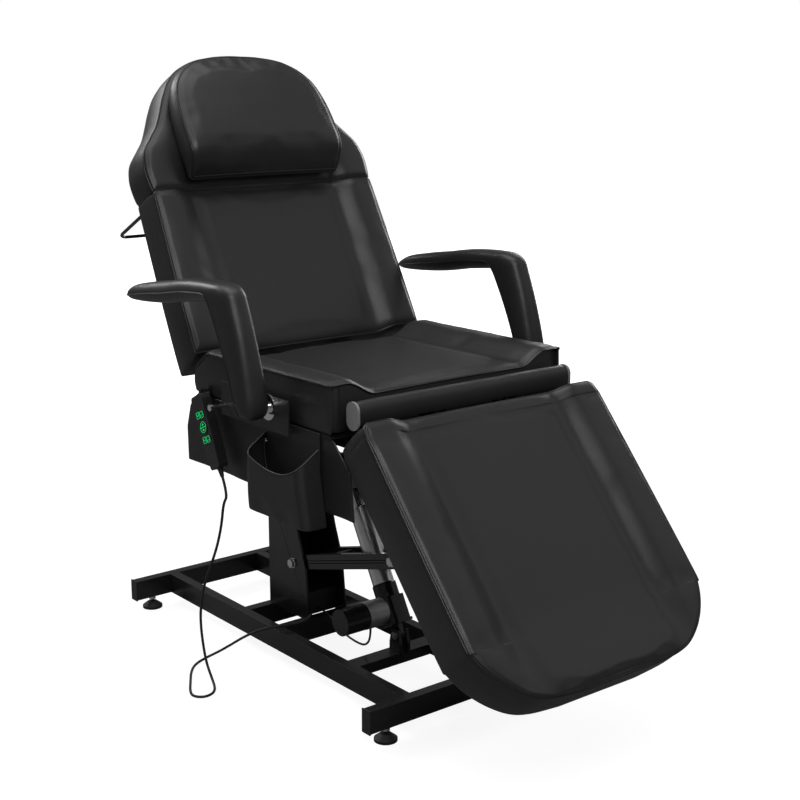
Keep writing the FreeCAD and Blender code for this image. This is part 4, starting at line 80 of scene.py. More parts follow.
class Signal:
    """One output of a shader node; Python operators on it add Math nodes."""

    def __init__(self, tree: bpy.types.NodeTree, socket: bpy.types.NodeSocket) -> None:
        """Keeps the node tree and the socket that carries the value."""
        self.tree = tree
        self.socket = socket

    def maths(self, operation: str, *values: Any) -> "Signal":
        """Adds a Math node.

        Args:
            operation: The node's operation.
            values: Its inputs, signals or plain numbers.

        Returns:
            The node's result.
        """
        made = self.tree.nodes.new("ShaderNodeMath")
        made.operation = operation
        for slot, value in zip(made.inputs, values):
            if isinstance(value, Signal):
                self.tree.links.new(value.socket, slot)
            else:
                slot.default_value = value
        return Signal(self.tree, made.outputs[0])

    def __add__(self, other: Any) -> "Signal":
        """Sum."""
        return self.maths("ADD", self, other)

    def __radd__(self, other: Any) -> "Signal":
        """Sum with the signal on the right."""
        return self.maths("ADD", other, self)

    def __sub__(self, other: Any) -> "Signal":
        """Difference."""
        return self.maths("SUBTRACT", self, other)

    def __rsub__(self, other: Any) -> "Signal":
        """Difference with the signal on the right."""
        return self.maths("SUBTRACT", other, self)

    def __mul__(self, other: Any) -> "Signal":
        """Product."""
        return self.maths("MULTIPLY", self, other)

    def __rmul__(self, other: Any) -> "Signal":
        """Product with the signal on the right."""
        return self.maths("MULTIPLY", other, self)

    def __pow__(self, other: Any) -> "Signal":
        """Power."""
        return self.maths("POWER", self, other)

    def clamped(self) -> "Signal":
        """The value held between 0 and 1."""
        return self.maths("MAXIMUM", self.maths("MINIMUM", self, 1.0), 0.0)


class Graph:
    """The node graph of one material, ending in a Principled shader."""

    def __init__(self, name: str) -> None:
        """Makes an empty material with its shader and output."""
        self.material = bpy.data.materials.new(name)
        self.material.use_nodes = True
        self.tree = self.material.node_tree
        self.tree.nodes.clear()
        self.output = self.tree.nodes.new("ShaderNodeOutputMaterial")

    def node(
        self,
        kind: str,
        settings: Optional[Mapping[str, Any]] = None,
        inputs: Optional[Mapping[Any, Any]] = None,
    ) -> bpy.types.Node:
        """Adds a node.

        Args:
            kind: The node's type.
            settings: Properties, set first.
            inputs: Values or links by socket name or number.

        Returns:
            The new node.
        """
        made = self.tree.nodes.new(kind)
        for key, value in (settings or {}).items():
            setattr(made, key, value)
        for key, value in (inputs or {}).items():
            if isinstance(value, Signal):
                self.tree.links.new(value.socket, made.inputs[key])
            else:
                made.inputs[key].default_value = value
        return made

    def take(self, made: bpy.types.Node, name: Any = 0) -> Signal:
        """One output of a node as a signal."""
        return Signal(self.tree, made.outputs[name])

    def place(self, stretch: Sequence[float] = (1, 1, 1), turn: Sequence[float] = (0, 0, 0)) -> Signal:
        """Object coordinates, stretched and turned by a Mapping node."""
        where = self.take(self.node("ShaderNodeTexCoord"), "Object")
        inputs = {"Vector": where, "Scale": stretch, "Rotation": turn}
        return self.take(self.node("ShaderNodeMapping", {"vector_type": "POINT"}, inputs))

    def noise(self, where: Signal, scale: float, detail: float = 3.0, roughness: float = 0.5) -> Signal:
        """Noise of 0 to 1 at a scale in cells per metre."""
        inputs = {"Vector": where, "Scale": scale, "Detail": detail, "Roughness": roughness}
        return self.take(self.node("ShaderNodeTexNoise", {"noise_dimensions": "3D"}, inputs), "Fac")

    def cells(self, where: Signal, scale: float, feature: str = "F1") -> Signal:
        """Distance to the nearest cell centre of a Voronoi pattern."""
        inputs = {"Vector": where, "Scale": scale}
        return self.take(self.node("ShaderNodeTexVoronoi", {"feature": feature}, inputs), "Distance")

    def mixed(self, share: Signal, low: Sequence[float], high: Sequence[float]) -> Signal:
        """A colour between two, by a share of 0 to 1."""
        inputs = {"Factor": share, MIX_LOW: (*low, 1.0), MIX_HIGH: (*high, 1.0)}
        return self.take(self.node("ShaderNodeMix", {"data_type": "RGBA"}, inputs), MIX_RESULT)

    def bump(self, height: Signal, depth: float, strength: float, under: Optional[Signal] = None) -> Signal:
        """A normal from a height; depth in metres for a height of 1, over the bumps under it."""
        inputs: dict[str, Any] = {"Height": height, "Distance": depth, "Strength": strength}
        if under is not None:
            inputs["Normal"] = under
        return self.take(self.node("ShaderNodeBump", None, inputs))

    def finish(self, inputs: Mapping[str, Any]) -> bpy.types.Material:
        """Adds the Principled shader and links it to the output.

        Args:
            inputs: The shader's values and links.

        Returns:
            The material.
        """
        shader = self.node("ShaderNodeBsdfPrincipled", None, inputs)
        self.tree.links.new(shader.outputs[0], self.output.inputs["Surface"])
        return self.material


# Finishes


@dataclass(frozen=True)
class Vinyl:
    """Embossed synthetic leather: pebbled grain, slow pulls in the skin, uneven sheen."""

    name: str
    colour: Triple = (0.0125, 0.0125, 0.0132)
    worn: Triple = (0.021, 0.021, 0.022)
    roughness: float = 0.40
    grain: float = 620.0
    grain_depth: float = 0.00022
    pull: float = 0.0011
    pull_scale: float = 22.0
    crease_scale: float = 34.0
    crease_depth: float = 0.12
    tone_scale: float = 5.0

    def build(self) -> bpy.types.Material:
        """Pebbles are Voronoi cells broken by noise; pulls are slow noise less creases.

        A crease is 1 less nine times the distance to the edge of a cell, held to 0..1, and
        slower noise lets it come and go.
        """
        graph = Graph(self.name)
        where = graph.place()
        pebble = graph.cells(where, self.grain) + 0.5 * graph.noise(where, self.grain * 1.7, 2.0)
        slow = graph.noise(where, self.pull_scale, 2.0, 0.45)
        lines = (1.0 - graph.cells(where, self.crease_scale, "DISTANCE_TO_EDGE") * 9.0).clamped()
        creases = lines * graph.noise(where, 9.0, 1.0)
        tone = graph.noise(where, self.tone_scale, 4.0, 0.6)
        normal = graph.bump(slow - self.crease_depth * creases, self.pull, 0.55)
        normal = graph.bump(pebble, self.grain_depth, 0.35, normal)
        return graph.finish({
            "Base Color": graph.mixed(tone, self.colour, self.worn),
            "Roughness": self.roughness + 0.12 * (tone - 0.5) + 0.05 * (pebble - 0.5),
            "Normal": normal,
            "Specular IOR Level": 0.5,
        })


@dataclass(frozen=True)
class Enamel:
    """Baked black enamel on steel: a deep gloss with orange peel and patches of dust."""

    name: str
    colour: Triple = (0.008, 0.008, 0.009)
    dust: Triple = (0.02, 0.02, 0.021)
    roughness: float = 0.24
    peel_scale: float = 330.0
    peel_depth: float = 0.00012
    patch_scale: float = 11.0
    coat: float = 0.1
    coat_roughness: float = 0.12

    def build(self) -> bpy.types.Material:
        """Peel is noise of 3 mm; the sheen changes over 100 mm."""
        graph = Graph(self.name)
        where = graph.place()
        peel = graph.noise(where, self.peel_scale, 1.5)
        patches = graph.noise(where, self.patch_scale, 5.0, 0.65)
        return graph.finish({
            "Base Color": graph.mixed(patches, self.colour, self.dust),
            "Roughness": self.roughness + 0.16 * (patches - 0.5),
            "Normal": graph.bump(peel, self.peel_depth, 0.5),
            "Coat Weight": self.coat,
            "Coat Roughness": self.coat_roughness,
        })


@dataclass(frozen=True)
class Moulding:
    """Moulded plastic or rubber with a spark-eroded grain."""

    name: str
    colour: Triple = (0.012, 0.012, 0.013)
    pale: Triple = (0.02, 0.02, 0.021)
    roughness: float = 0.5
    grain: float = 1500.0
    depth: float = 0.0001
    tone_scale: float = 17.0

    def build(self) -> bpy.types.Material:
        """Grain is fine noise; the tone changes over 60 mm."""
        graph = Graph(self.name)
        where = graph.place()
        fine = graph.noise(where, self.grain, 2.0)
        tone = graph.noise(where, self.tone_scale, 4.0, 0.6)
        return graph.finish({
            "Base Color": graph.mixed(tone, self.colour, self.pale),
            "Roughness": self.roughness + 0.14 * (tone - 0.5) + 0.06 * (fine - 0.5),
            "Normal": graph.bump(fine, self.depth, 0.5),
        })


@dataclass(frozen=True)
class BareMetal:
    """Bright metal: plated, brushed along one way, or rolled."""

    name: str
    colour: Triple = (0.72, 0.72, 0.73)
    dull: Triple = (0.52, 0.52, 0.53)
    roughness: float = 0.22
    stretch: Triple = (1.0, 1.0, 1.0)
    turn: Triple = (0.0, 0.0, 0.0)
    scratch: float = 900.0
    depth: float = 0.00003
    tarnish_scale: float = 26.0

    def build(self) -> bpy.types.Material:
        """Scratches are noise stretched along the brushing; tarnish is slow noise."""
        graph = Graph(self.name)
        lines = graph.noise(graph.place(self.stretch, self.turn), self.scratch, 3.0, 0.6)
        tarnish = graph.noise(graph.place(), self.tarnish_scale, 4.0, 0.65)
        return graph.finish({
            "Base Color": graph.mixed(tarnish, self.dull, self.colour),
            "Metallic": 1.0,
            "Roughness": self.roughness + 0.16 * (tarnish - 0.5) + 0.1 * (lines - 0.5),
            "Normal": graph.bump(lines, self.depth, 0.4),
        })


@dataclass(frozen=True)
class Lining:
    """Spun-bonded black dust cover on the boards under the upholstery."""

    name: str
    colour: Triple = (0.010, 0.010, 0.010)
    pale: Triple = (0.03, 0.03, 0.031)
    roughness: float = 0.86
    dimple_scale: float = 420.0
    fibre_scale: float = 900.0
    depth: float = 0.0003

    def build(self) -> bpy.types.Material:
        """Bonding dimples are a 2.4 mm Voronoi pattern over fibre noise."""
        graph = Graph(self.name)
        where = graph.place()
        dimple = graph.cells(where, self.dimple_scale)
        fibre = graph.noise(graph.place((1, 3, 1)), self.fibre_scale, 4.0, 0.7)
        return graph.finish({
            "Base Color": graph.mixed(fibre, self.colour, self.pale),
            "Roughness": self.roughness + 0.1 * (fibre - 0.5),
            "Normal": graph.bump(dimple + 0.4 * fibre, self.depth, 0.6),
        })


@dataclass(frozen=True)
class Glow:
    """Green print on the handset's buttons, with a painted glow: its colour is also emitted."""

    name: str
    colour: Triple = (0.0, 0.62, 0.16)
    strength: float = 1.1
    spread_scale: float = 700.0
    faint: float = 0.75

    def build(self) -> bpy.types.Material:
        """The print is a little uneven: fine noise mixes its colour with a fainter one, and that mix is
        also emitted as a painted glow.
        """
        graph = Graph(self.name)
        spread = graph.noise(graph.place(), self.spread_scale, 2.0)
        lit = graph.mixed(spread, tuple(self.faint * part for part in self.colour), self.colour)
        return graph.finish({
            "Base Color": lit,
            "Roughness": 0.4 + 0.1 * spread,
            # Painted glow: the print's colour is emitted, as if the print were a lamp.
            "Emission Color": lit,
            "Emission Strength": self.strength,
        })


class Look(Enum):
    """Every finish on the chair, by the maker's plain name for it."""

    VINYL = Vinyl("black_vinyl")
    PIPING = Vinyl(
        "piping_vinyl", (0.007, 0.007, 0.0075), (0.012, 0.012, 0.0125), 0.36, 900.0, 0.0001, 0.0002
    )
    POCKET = Vinyl(
        "skirt_vinyl", (0.011, 0.011, 0.0115), (0.018, 0.018, 0.019), 0.46, 700.0, 0.0002, 0.0006
    )
    ENAMEL = Enamel("black_enamel")
    PLASTIC = Moulding("black_plastic")
    GLOSSY = Moulding(
        "glossy_plastic", (0.009, 0.009, 0.0095), (0.014, 0.014, 0.0145), 0.26, 700.0, 0.00004
    )
    SATIN = Moulding(
        "handset_plastic", (0.013, 0.013, 0.014), (0.018, 0.018, 0.019), 0.42, 1900.0, 0.00006
    )
    RUBBER = Moulding("black_rubber", (0.011, 0.011, 0.011), (0.02, 0.02, 0.02), 0.62, 1000.0, 0.00012)
    ZINC = BareMetal("zinc_plate", (0.84, 0.83, 0.80), (0.62, 0.61, 0.58), 0.24)
    CHROME = BareMetal("chrome", (0.86, 0.86, 0.87), (0.74, 0.74, 0.75), 0.1, depth=0.00001)
    ROD = BareMetal("turned_rod", (0.8, 0.8, 0.81), (0.6, 0.6, 0.61), 0.2, (1, 1, 0.06), (0.51, 0, 0))
    BAND = BareMetal("motor_band", (0.7, 0.7, 0.71), (0.42, 0.42, 0.425), 0.5, (0.05, 1, 1), scratch=500.0)
    TUBE = BareMetal("drawn_tube", (0.86, 0.86, 0.87), (0.66, 0.66, 0.67), 0.3, (1, 1, 0.05), (0.51, 0, 0))
    PLATE = Moulding("pale_end_plate", (0.2, 0.2, 0.205), (0.3, 0.3, 0.31), 0.42, 1200.0, 0.00006)
    LINING = Lining("dust_cover")
    # Green print with a painted glow.
    GREEN = Glow("green_light")


class Paint:
    """Makes each finish once and puts it on pieces."""

    def __init__(self) -> None:
        """Starts with no material made."""
        self.made: dict[Look, bpy.types.Material] = {}

    def get(self, look: Look) -> bpy.types.Material:
        """The material of a finish, made at its first use."""
        if look not in self.made:
            self.made[look] = look.value.build()
        return self.made[look]

    def coat(self, piece: bpy.types.Object, look: Look) -> None:
        """Puts one finish all over a piece."""
        piece.data.materials.clear()
        piece.data.materials.append(self.get(look))


PAINT = Paint()


# Surfaces


def eased(share: Array) -> Array:
    """A smooth step: three times the square less twice the cube, held to 0..1."""
    held = np.clip(share, 0.0, 1.0)
    return held * held * (3.0 - 2.0 * held)


def curve_through(points: Sequence[Sequence[float]], count: int, closed: bool = False) -> Array:
    """Points on a smooth curve through given ones, evenly spaced along it.

    Each stretch is the cubic whose end slopes are half the chord between the neighbours.

    Args:
        points: The points that the curve passes.
        count: How many points to return.
        closed: Whether the curve runs back to its first point.

    Returns:
        An array of count points; a closed curve leaves its first point out at the end.
    """
    knots = np.asarray(points, float)
    if closed:
        run = np.vstack([knots[-1:], knots, knots[:2]])
    else:
        run = np.vstack([2 * knots[:1] - knots[1:2], knots, 2 * knots[-1:] - knots[-2:-1]])
    share = np.linspace(0.0, 1.0, 24, endpoint=False)[None, :, None]
    a, b, c, d = (run[k:len(run) - 3 + k][:, None, :] for k in range(4))
    square, cube = 2 * a - 5 * b + 4 * c - d, 3 * b - 3 * c + d - a
    dense = 0.5 * (2 * b + (c - a) * share + square * share**2 + cube * share**3)
    dense = np.vstack([dense.reshape(-1, knots.shape[1]), run[-2:-1]])
    reach = run_length(dense)
    wanted = np.linspace(0.0, reach[-1], count, endpoint=not closed)
    return np.column_stack([np.interp(wanted, reach, dense[:, k]) for k in range(knots.shape[1])])


def run_length(path: Array) -> Array:
    """The way travelled along a path up to each of its points, from 0."""
    return np.concatenate([[0.0], np.cumsum(np.linalg.norm(np.diff(path, axis=0), axis=1))])


def graded(length: float, pitch: float, edge: Sequence[float] = (1.5, 3.5, 6.5, 10.0, 14.0)) -> Array:
    """Places along a length, close together near both ends.

    Args:
        length: The whole length, in millimetres.
        pitch: The spacing in the middle.
        edge: Distances from each end that get a place of their own.

    Returns:
        The places, from 0 to the length.
    """
    near = np.concatenate([[0.0], [place for place in edge if place < length / 3]])
    middle = np.linspace(near[-1], length - near[-1], max(3, int(length / pitch)))[1:-1]
    return np.concatenate([near, middle, (length - near)[::-1]])


class Shape:
    """Collects vertices and faces in millimetres and turns them into one mesh object."""

    def __init__(self) -> None:
        """Starts empty."""
        self.points: list[Array] = []
        self.faces: list[tuple[int, ...]] = []
        self.total = 0

    def add(self, points: Array) -> Array:
        """Adds points of any array shape and returns their numbers in the same shape."""
        flat = points.reshape(-1, 3)
        numbers = np.arange(self.total, self.total + len(flat)).reshape(points.shape[:-1])
        self.points.append(flat)
        self.total += len(flat)
        return numbers

    def join(self, numbers: Array, closed: bool = False, keep: Optional[Array] = None) -> None:
        """Joins a grid of numbers with four-sided faces.

        Args:
            numbers: Rows and columns of vertex numbers.
            closed: Whether the last column joins the first.
            keep: Which faces stay, by row and column.
        """
        ring = np.concatenate([numbers, numbers[:, :1]], axis=1) if closed else numbers
        quads = np.stack([ring[:-1, :-1], ring[:-1, 1:], ring[1:, 1:], ring[1:, :-1]], axis=-1)
        chosen = quads.reshape(-1, 4) if keep is None else quads[keep]
        self.faces.extend(map(tuple, chosen.tolist()))

    def fan(self, ring: Array, tip: Array) -> None:
        """Closes a ring of numbers with triangles to one tip point."""
        number = int(self.add(tip.reshape(1, 3))[0])
        following = np.roll(ring, -1)
        self.faces.extend((a, b, number) for a, b in zip(ring.tolist(), following.tolist()))

    def build(self, name: str, look: Optional[Look] = None, sharp: float = 0.95) -> bpy.types.Object:
        """Makes the object.

        Args:
            name: The piece's name.
            look: Its finish, or None where its maker gives it one.
            sharp: Angle between faces, in radians, from which an edge shades as a fold.

        Returns:
            The new object, at the origin, with outward normals.
        """
        mesh = bpy.data.meshes.new(name)
        mesh.from_pydata((np.vstack(self.points) * MM).tolist(), [], self.faces)
        work = bmesh.new()
        work.from_mesh(mesh)
        bmesh.ops.remove_doubles(work, verts=work.verts[:], dist=SAME_PLACE)
        bmesh.ops.recalc_face_normals(work, faces=work.faces[:])
        work.to_mesh(mesh)
        work.free()
        mesh.shade_smooth()
        mesh.set_sharp_from_angle(angle=sharp)
        piece = bpy.data.objects.new(name, mesh)
        bpy.context.scene.collection.objects.link(piece)
        if look is not None:
            PAINT.coat(piece, look)
        return piece


def carried(
    shape: Shape, path: Array, radius: float, up: Sequence[float], closed: bool = False, sides: int = 8
) -> None:
    """A round bead carried along a path: each point plus a circle square to the path.

    Args:
        shape: Where the surface goes.
        path: Points of the path, in millimetres.
        radius: The bead's radius.
        up: A direction that the path never takes.
        closed: Whether the path is a loop.
        sides: Points round the circle.
    """
    if closed:
        along = np.roll(path, -1, axis=0) - np.roll(path, 1, axis=0)
    else:
        along = np.gradient(path, axis=0)
    along = along / np.linalg.norm(along, axis=1, keepdims=True)
    side = np.cross(along, np.asarray(up, float))
    side = side / np.linalg.norm(side, axis=1, keepdims=True)
    over = np.cross(side, along)
    turn = np.linspace(0.0, 2 * math.pi, sides, endpoint=False)[None, :, None]
    rings = path[:, None, :] + radius * (np.cos(turn) * side[:, None, :] + np.sin(turn) * over[:, None, :])
    numbers = shape.add(rings)
    if closed:
        shape.join(np.concatenate([numbers, numbers[:1]], axis=0), closed=True)
        return
    shape.join(numbers, closed=True)
    shape.fan(numbers[0], path[0])
    shape.fan(numbers[-1], path[-1])


def rounded_ring(half_across: Array, half_up: Array, radius: Array, count: int) -> Array:
    """A rectangle with round corners, as a circle whose flats are stretched between the corners.

    Each coordinate is radius times the cosine or sine, plus the flat's half length times
    three times that cosine or sine held to -1..1.

    Args:
        half_across: Half the width of each section.
        half_up: Half the height of each section.
        radius: The corner's radius of each section.
        count: Points round a section.

    Returns:
        Across and up for each section and each point round it.
    """
    turn = np.linspace(0.0, 2 * math.pi, count, endpoint=False)[None, :]
    cos, sin = np.cos(turn), np.sin(turn)
    across = radius[:, None] * cos + (half_across - radius)[:, None] * np.clip(3 * cos, -1, 1)
    up = radius[:, None] * sin + (half_up - radius)[:, None] * np.clip(3 * sin, -1, 1)
    return np.stack([across, up], axis=-1)


@dataclass(frozen=True)
class Hinged:
    """The place of a section that is turned about a cross shaft."""

    y: float = 0.0
    z: float = 0.0
    angle: float = 0.0

    def matrix(self) -> Array:
        """The turn about X, for row vectors."""
        turn = math.radians(self.angle)
        return np.array([
            [1, 0, 0], [0, math.cos(turn), math.sin(turn)], [0, -math.sin(turn), math.cos(turn)],
        ])

    def to_chair(self, points: Array) -> Array:
        """Points of the section's own frame in the chair's frame."""
        return points @ self.matrix() + np.array([0.0, self.y, self.z])


@dataclass(frozen=True)
class Puffing:
    """A short cloth simulation that fills a sewn cover, with its seams held.

    Attributes:
        pressure: The air's pressure in the cover.
        frames: How many frames the air has.
        cap: The furthest that a vertex may move, in millimetres.
        slack: The share by which the cloth is larger than its pattern.
        passes: How often the moves are averaged.
        quality: Steps in each frame.
        mass: Mass of a vertex.
        stretch: Stiffness against pull and push.
        shear: Stiffness against shear.
        bend: Stiffness against folds.
    """

    pressure: float = 2.0
    frames: int = 16
    cap: float = 3.5
    slack: float = 0.004
    passes: int = 8
    quality: int = 6
    mass: float = 0.35
    stretch: float = 22.0
    shear: float = 8.0
    bend: float = 1.2

    def cloth(self, piece: bpy.types.Object, held: Array) -> bpy.types.Modifier:
        """Adds the simulation, with each vertex pinned by its share in a vertex group."""
        group = piece.vertex_groups.new(name="held")
        shares = held.round(2)
        for share in np.unique(shares[held > 0]):
            members = np.flatnonzero(np.isclose(shares, share))
            group.add(members.tolist(), float(share), "REPLACE")
        cloth = piece.modifiers.new("cover", "CLOTH")
        settings = cloth.settings
        settings.quality = self.quality
        settings.mass = self.mass
        settings.tension_stiffness = settings.compression_stiffness = self.stretch
        settings.shear_stiffness = self.shear
        settings.bending_stiffness = self.bend
        settings.vertex_group_mass = group.name
        settings.use_pressure = True
        settings.uniform_pressure_force = self.pressure
        settings.shrink_min = -self.slack
        settings.effector_weights.gravity = 0.0
        cloth.collision_settings.use_collision = False
        cloth.point_cache.frame_end = self.frames
        return cloth

    def spread(self, piece: bpy.types.Object, moved: Array) -> Array:
        """The moves averaged with those of the neighbours, half and half, a few times over."""
        ends = np.zeros(len(piece.data.edges) * 2, np.int32)
        piece.data.edges.foreach_get("vertices", ends)
        first, second = ends.reshape(-1, 2).T
        count = np.bincount(ends, minlength=len(moved))[:, None]
        for _ in range(self.passes):
            total = np.zeros_like(moved)
            np.add.at(total, first, moved[second])
            np.add.at(total, second, moved[first])
            moved = 0.5 * moved + 0.5 * total / np.maximum(count, 1)
        return moved

    def fill(self, piece: bpy.types.Object, held: Array) -> None:
        """Blows the cover up and writes the averaged and capped result into its mesh.

        Args:
            piece: The cover.
            held: How firmly each vertex is held, 0 to 1.
        """
        before = vertices_of(piece)
        cloth = self.cloth(piece, held)
        scene = bpy.context.scene
        for number in range(1, self.frames + 1):
            scene.frame_set(number)
        graph = bpy.context.evaluated_depsgraph_get()
        after = vertices_of(piece.evaluated_get(graph))
        scene.frame_set(1)
        piece.modifiers.remove(cloth)
        piece.vertex_groups.clear()
        moved = self.spread(piece, after - before) * (1.0 - held)[:, None]
        length = np.linalg.norm(moved, axis=1, keepdims=True)
        moved *= np.minimum(1.0, self.cap * MM / np.maximum(length, TINY))
        piece.data.vertices.foreach_set("co", (before + moved).astype(np.float32).ravel())
        piece.data.update()
        LOG.info("%s filled, %.1f mm at most", piece.name, float(length.max()) / MM)


def vertices_of(piece: bpy.types.Object) -> Array:
    """A piece's vertices as an array of rows."""
    flat = np.zeros(len(piece.data.vertices) * 3, np.float32)
    piece.data.vertices.foreach_get("co", flat)
    return flat.reshape(-1, 3).astype(float)


def smoothed(piece: bpy.types.Object) -> None:
    """Adds one level of subdivision, alike in view and render."""
    finer = piece.modifiers.new("finer", "SUBSURF")
    finer.levels = finer.render_levels = 1


def walled(piece: bpy.types.Object, thick: float, offset: float) -> None:
    """Gives a sheet a wall of a thickness in millimetres; offset -1 puts it all inside."""
    wall = piece.modifiers.new("wall", "SOLIDIFY")
    wall.thickness, wall.offset = thick * MM, offset


def dress(
    piece: bpy.types.Object, body: str, node: str = ""
) -> None:
    """Ties a finished piece to its body, hides the CAD node that it replaces, and reports it.

    Args:
        piece: The piece.
        body: The body that carries it.
        node: The CAD node that it replaces, if any.
    """
    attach(piece, body)
    if node:
        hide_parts(node)
    LOG.info("%s: %d vertices, on %s", piece.name, len(piece.data.vertices), body)


# Upholstery


@dataclass
class Pad:
    """A boxed cushion: a face panel with bolsters, bellied side walls, a flat underside and piping.

    The section's own frame has X across, Y along and Z out of the face. The face panel is a
    grid of rows at places along the outline and columns at shares of the half width there.

    Attributes:
        name: The piece's name.
        node: The CAD node that it replaces.
        body: The body that carries it.
        at: Where the section lies and how far it is turned.
        outline: Along and half width, from the near end to the far one.
        start: The near end's place along the section.
        way: 1 where the pad runs along its section's Y, -1 where it runs against it.
        low: Height of the underside.
        top: Height of the face at the bolsters.
        wing: Width of a bolster.
        slope: Width of the slope between a bolster and the middle.
        dip: Depth of the middle below the bolsters.
        crown: How far the face bows up across its middle.
        edge: Height of the round at the rim of the face.
        roll: Width of that round.
        bulge: How far the side walls belly out.
        pitch: Spacing of the grid.
        bead: Radius of the piping.
        groove: Depth of the groove beside the piping.
        groove_in: Distance of that groove from the seam.
        groove_wide: Its width.
        shift: Move of the whole pad across.
        fill: How full the pad is; not used.
        lean: Slip back along the section at the near end, per millimetre below the face.
        lean_fades: Distance along in which the lean fades out.
        crease_held: How firmly the crease beside a bolster is held.
        crease_wide: Width of that hold.
        dip_share: Share of the dip by the place along, where it changes.
        drop: Fall of the face by the place along, where it falls.
        corner_seams: Whether thin beads run down the two near corners.
        puffing: The simulation that fills the cover.
    """

    name: str
    node: str
    body: str
    at: Hinged
    outline: Sequence[Pair]
    start: float
    way: float
    low: float
    top: float
    wing: float = 62.0
    slope: float = 58.0
    dip: float = 22.0
    crown: float = 5.0
    edge: float = 8.0
    roll: float = 13.0
    bulge: float = 4.0
    pitch: float = 8.0
    bead: float = 2.9
    groove: float = 1.7
    groove_in: float = 6.0
    groove_wide: float = 2.6
    shift: float = 0.0
    fill: float = 0.8
    lean: float = 0.0
    lean_fades: float = 1.0
    crease_held: float = 0.6
    crease_wide: float = 12.0
    dip_share: Optional[Callable[[Array], Array]] = None
    drop: Optional[Callable[[Array], Array]] = None
    corner_seams: bool = False
    puffing: Puffing = Puffing()

    def rows(self) -> Array:
        """Along and half width of each row, evenly spaced by the outline's own length."""
        dense = curve_through(self.outline, 900)
        reach = run_length(dense)
        places = graded(float(reach[-1]), self.pitch)
        return np.column_stack([np.interp(places, reach, dense[:, k]) for k in (0, 1)])

    def columns(self) -> Array:
        """Shares of the half width, from -1 to 1, close together at the sides."""
        return graded(2 * self.widest(), self.pitch) / self.widest() - 1.0

    def widest(self) -> float:
        """The outline's largest half width."""
        return max(half for _, half in self.outline)

    def face(self, x: Array, along: Array, half: Array, length: float) -> Array:
        """Height of the face panel.

        The top, less a dip that eases in between the bolster and the middle, plus a crown
        that falls with the square of the share of the half width, less a quarter round of the
        edge's height at all four sides, less a bell of the groove's depth beside the piping.

        Args:
            x: Place across of each point.
            along: Place along.
            half: The outline's half width there.
            length: The pad's whole length.

        Returns:
            The height of each point.
        """
        across = np.abs(x)
        share = self.dip_share(along) if self.dip_share else 1.0
        dip = self.dip * share * eased((self.widest() - across - self.wing) / self.slope)
        height = self.top - dip + self.crown * (1.0 - (x / half) ** 2)
        if self.drop:
            height = height - self.drop(along)
        nearest = np.minimum(half - across, np.minimum(along, length - along))
        inside = np.clip(1.0 - nearest / self.roll, 0.0, 1.0)
        height = height - self.groove * np.exp(-(((nearest - self.groove_in) / self.groove_wide) ** 2))
        return height - self.edge * (1.0 - np.sqrt(np.maximum(0.0, 1.0 - inside**2)))

    def leaned(self, along: Array, z: Array) -> Array:
        """How far a point slips back along the section below a leaning end."""
        share = np.clip(1.0 - along / self.lean_fades, 0.0, 1.0)
        return -self.lean * share * (self.top - z)

    def local(self, x: Array, along: Array, z: Array) -> Array:
        """Points in the section's own frame from across, along and height."""
        y = self.start + self.way * (along + self.leaned(along, z))
        return np.stack([x + self.shift, y, z], axis=-1)

    def placed(self, x: Array, along: Array, z: Array) -> Array:
        """The same points in the chair's frame."""
        return self.at.to_chair(self.local(x, along, z))

    def make(self) -> None:
        """Builds the cover, fills it and adds its piping.

        The side walls are rings at shares of the way down from the rim, each pushed out by
        the bulge times the sine of pi times its share.
        """
        rows, shares = self.rows(), self.columns()
        along = np.repeat(rows[:, :1], len(shares), axis=1)
        half = np.repeat(rows[:, 1:], len(shares), axis=1)
        x = half * shares[None, :]
        z = self.face(x, along, half, float(rows[-1, 0]))
        loop = outer_loop(*x.shape)
        shape = Shape()
        panel = shape.add(self.placed(x, along, z))
        shape.join(panel)
        edge_x, edge_along, edge_z = (part.reshape(-1)[loop] for part in (x, along, z))
        out = outward(edge_x, edge_along)
        rings = [panel.reshape(-1)[loop]]
        for depth in (0.08, 0.2, 0.35, 0.5, 0.65, 0.8, 0.92):
            swell = self.bulge * math.sin(math.pi * depth)
            ring_z = edge_z + (self.low - edge_z) * depth
            ring = self.placed(edge_x + out[:, 0] * swell, edge_along + out[:, 1] * swell, ring_z)
            rings.append(shape.add(ring))
        under = shape.add(self.placed(x, along, np.full_like(z, self.low)))
        rings.append(under.reshape(-1)[loop])
        shape.join(np.stack(rings), closed=True)
        shape.join(under)
        piece = shape.build(self.name, Look.VINYL)
        self.puffing.fill(piece, self.hold(piece, rows))
        smoothed(piece)
        dress(piece, self.body, self.node)
        self.pipe(self.local(x, along, z))

    def hold(self, piece: bpy.types.Object, rows: Array) -> Array:
        """How firmly each vertex is held: seams and underside fully, creases in part.

        Args:
            piece: The cover.
            rows: Along and half width of each row.

        Returns:
            A share of 0 to 1 for each vertex.
        """
        own = (vertices_of(piece) / MM - np.array([0.0, self.at.y, self.at.z])) @ self.at.matrix().T
        across, height = np.abs(own[:, 0] - self.shift), own[:, 2]
        place = self.way * (own[:, 1] - self.start)
        side = np.interp(place, rows[:, 0], rows[:, 1]) - across
        near, touching = 2.0, 1.0
        seam = (side < near) & (height > self.low + near)
        ends = (place < touching) | (place > rows[-1, 0] - touching)
        beyond = self.widest() - across - self.wing - self.slope
        crease = np.exp(-((beyond / self.crease_wide) ** 2))
        held = self.crease_held * crease * (1.0 if self.dip else 0.0)
        return np.where((height < self.low + touching) | seam | ends, 1.0, held)

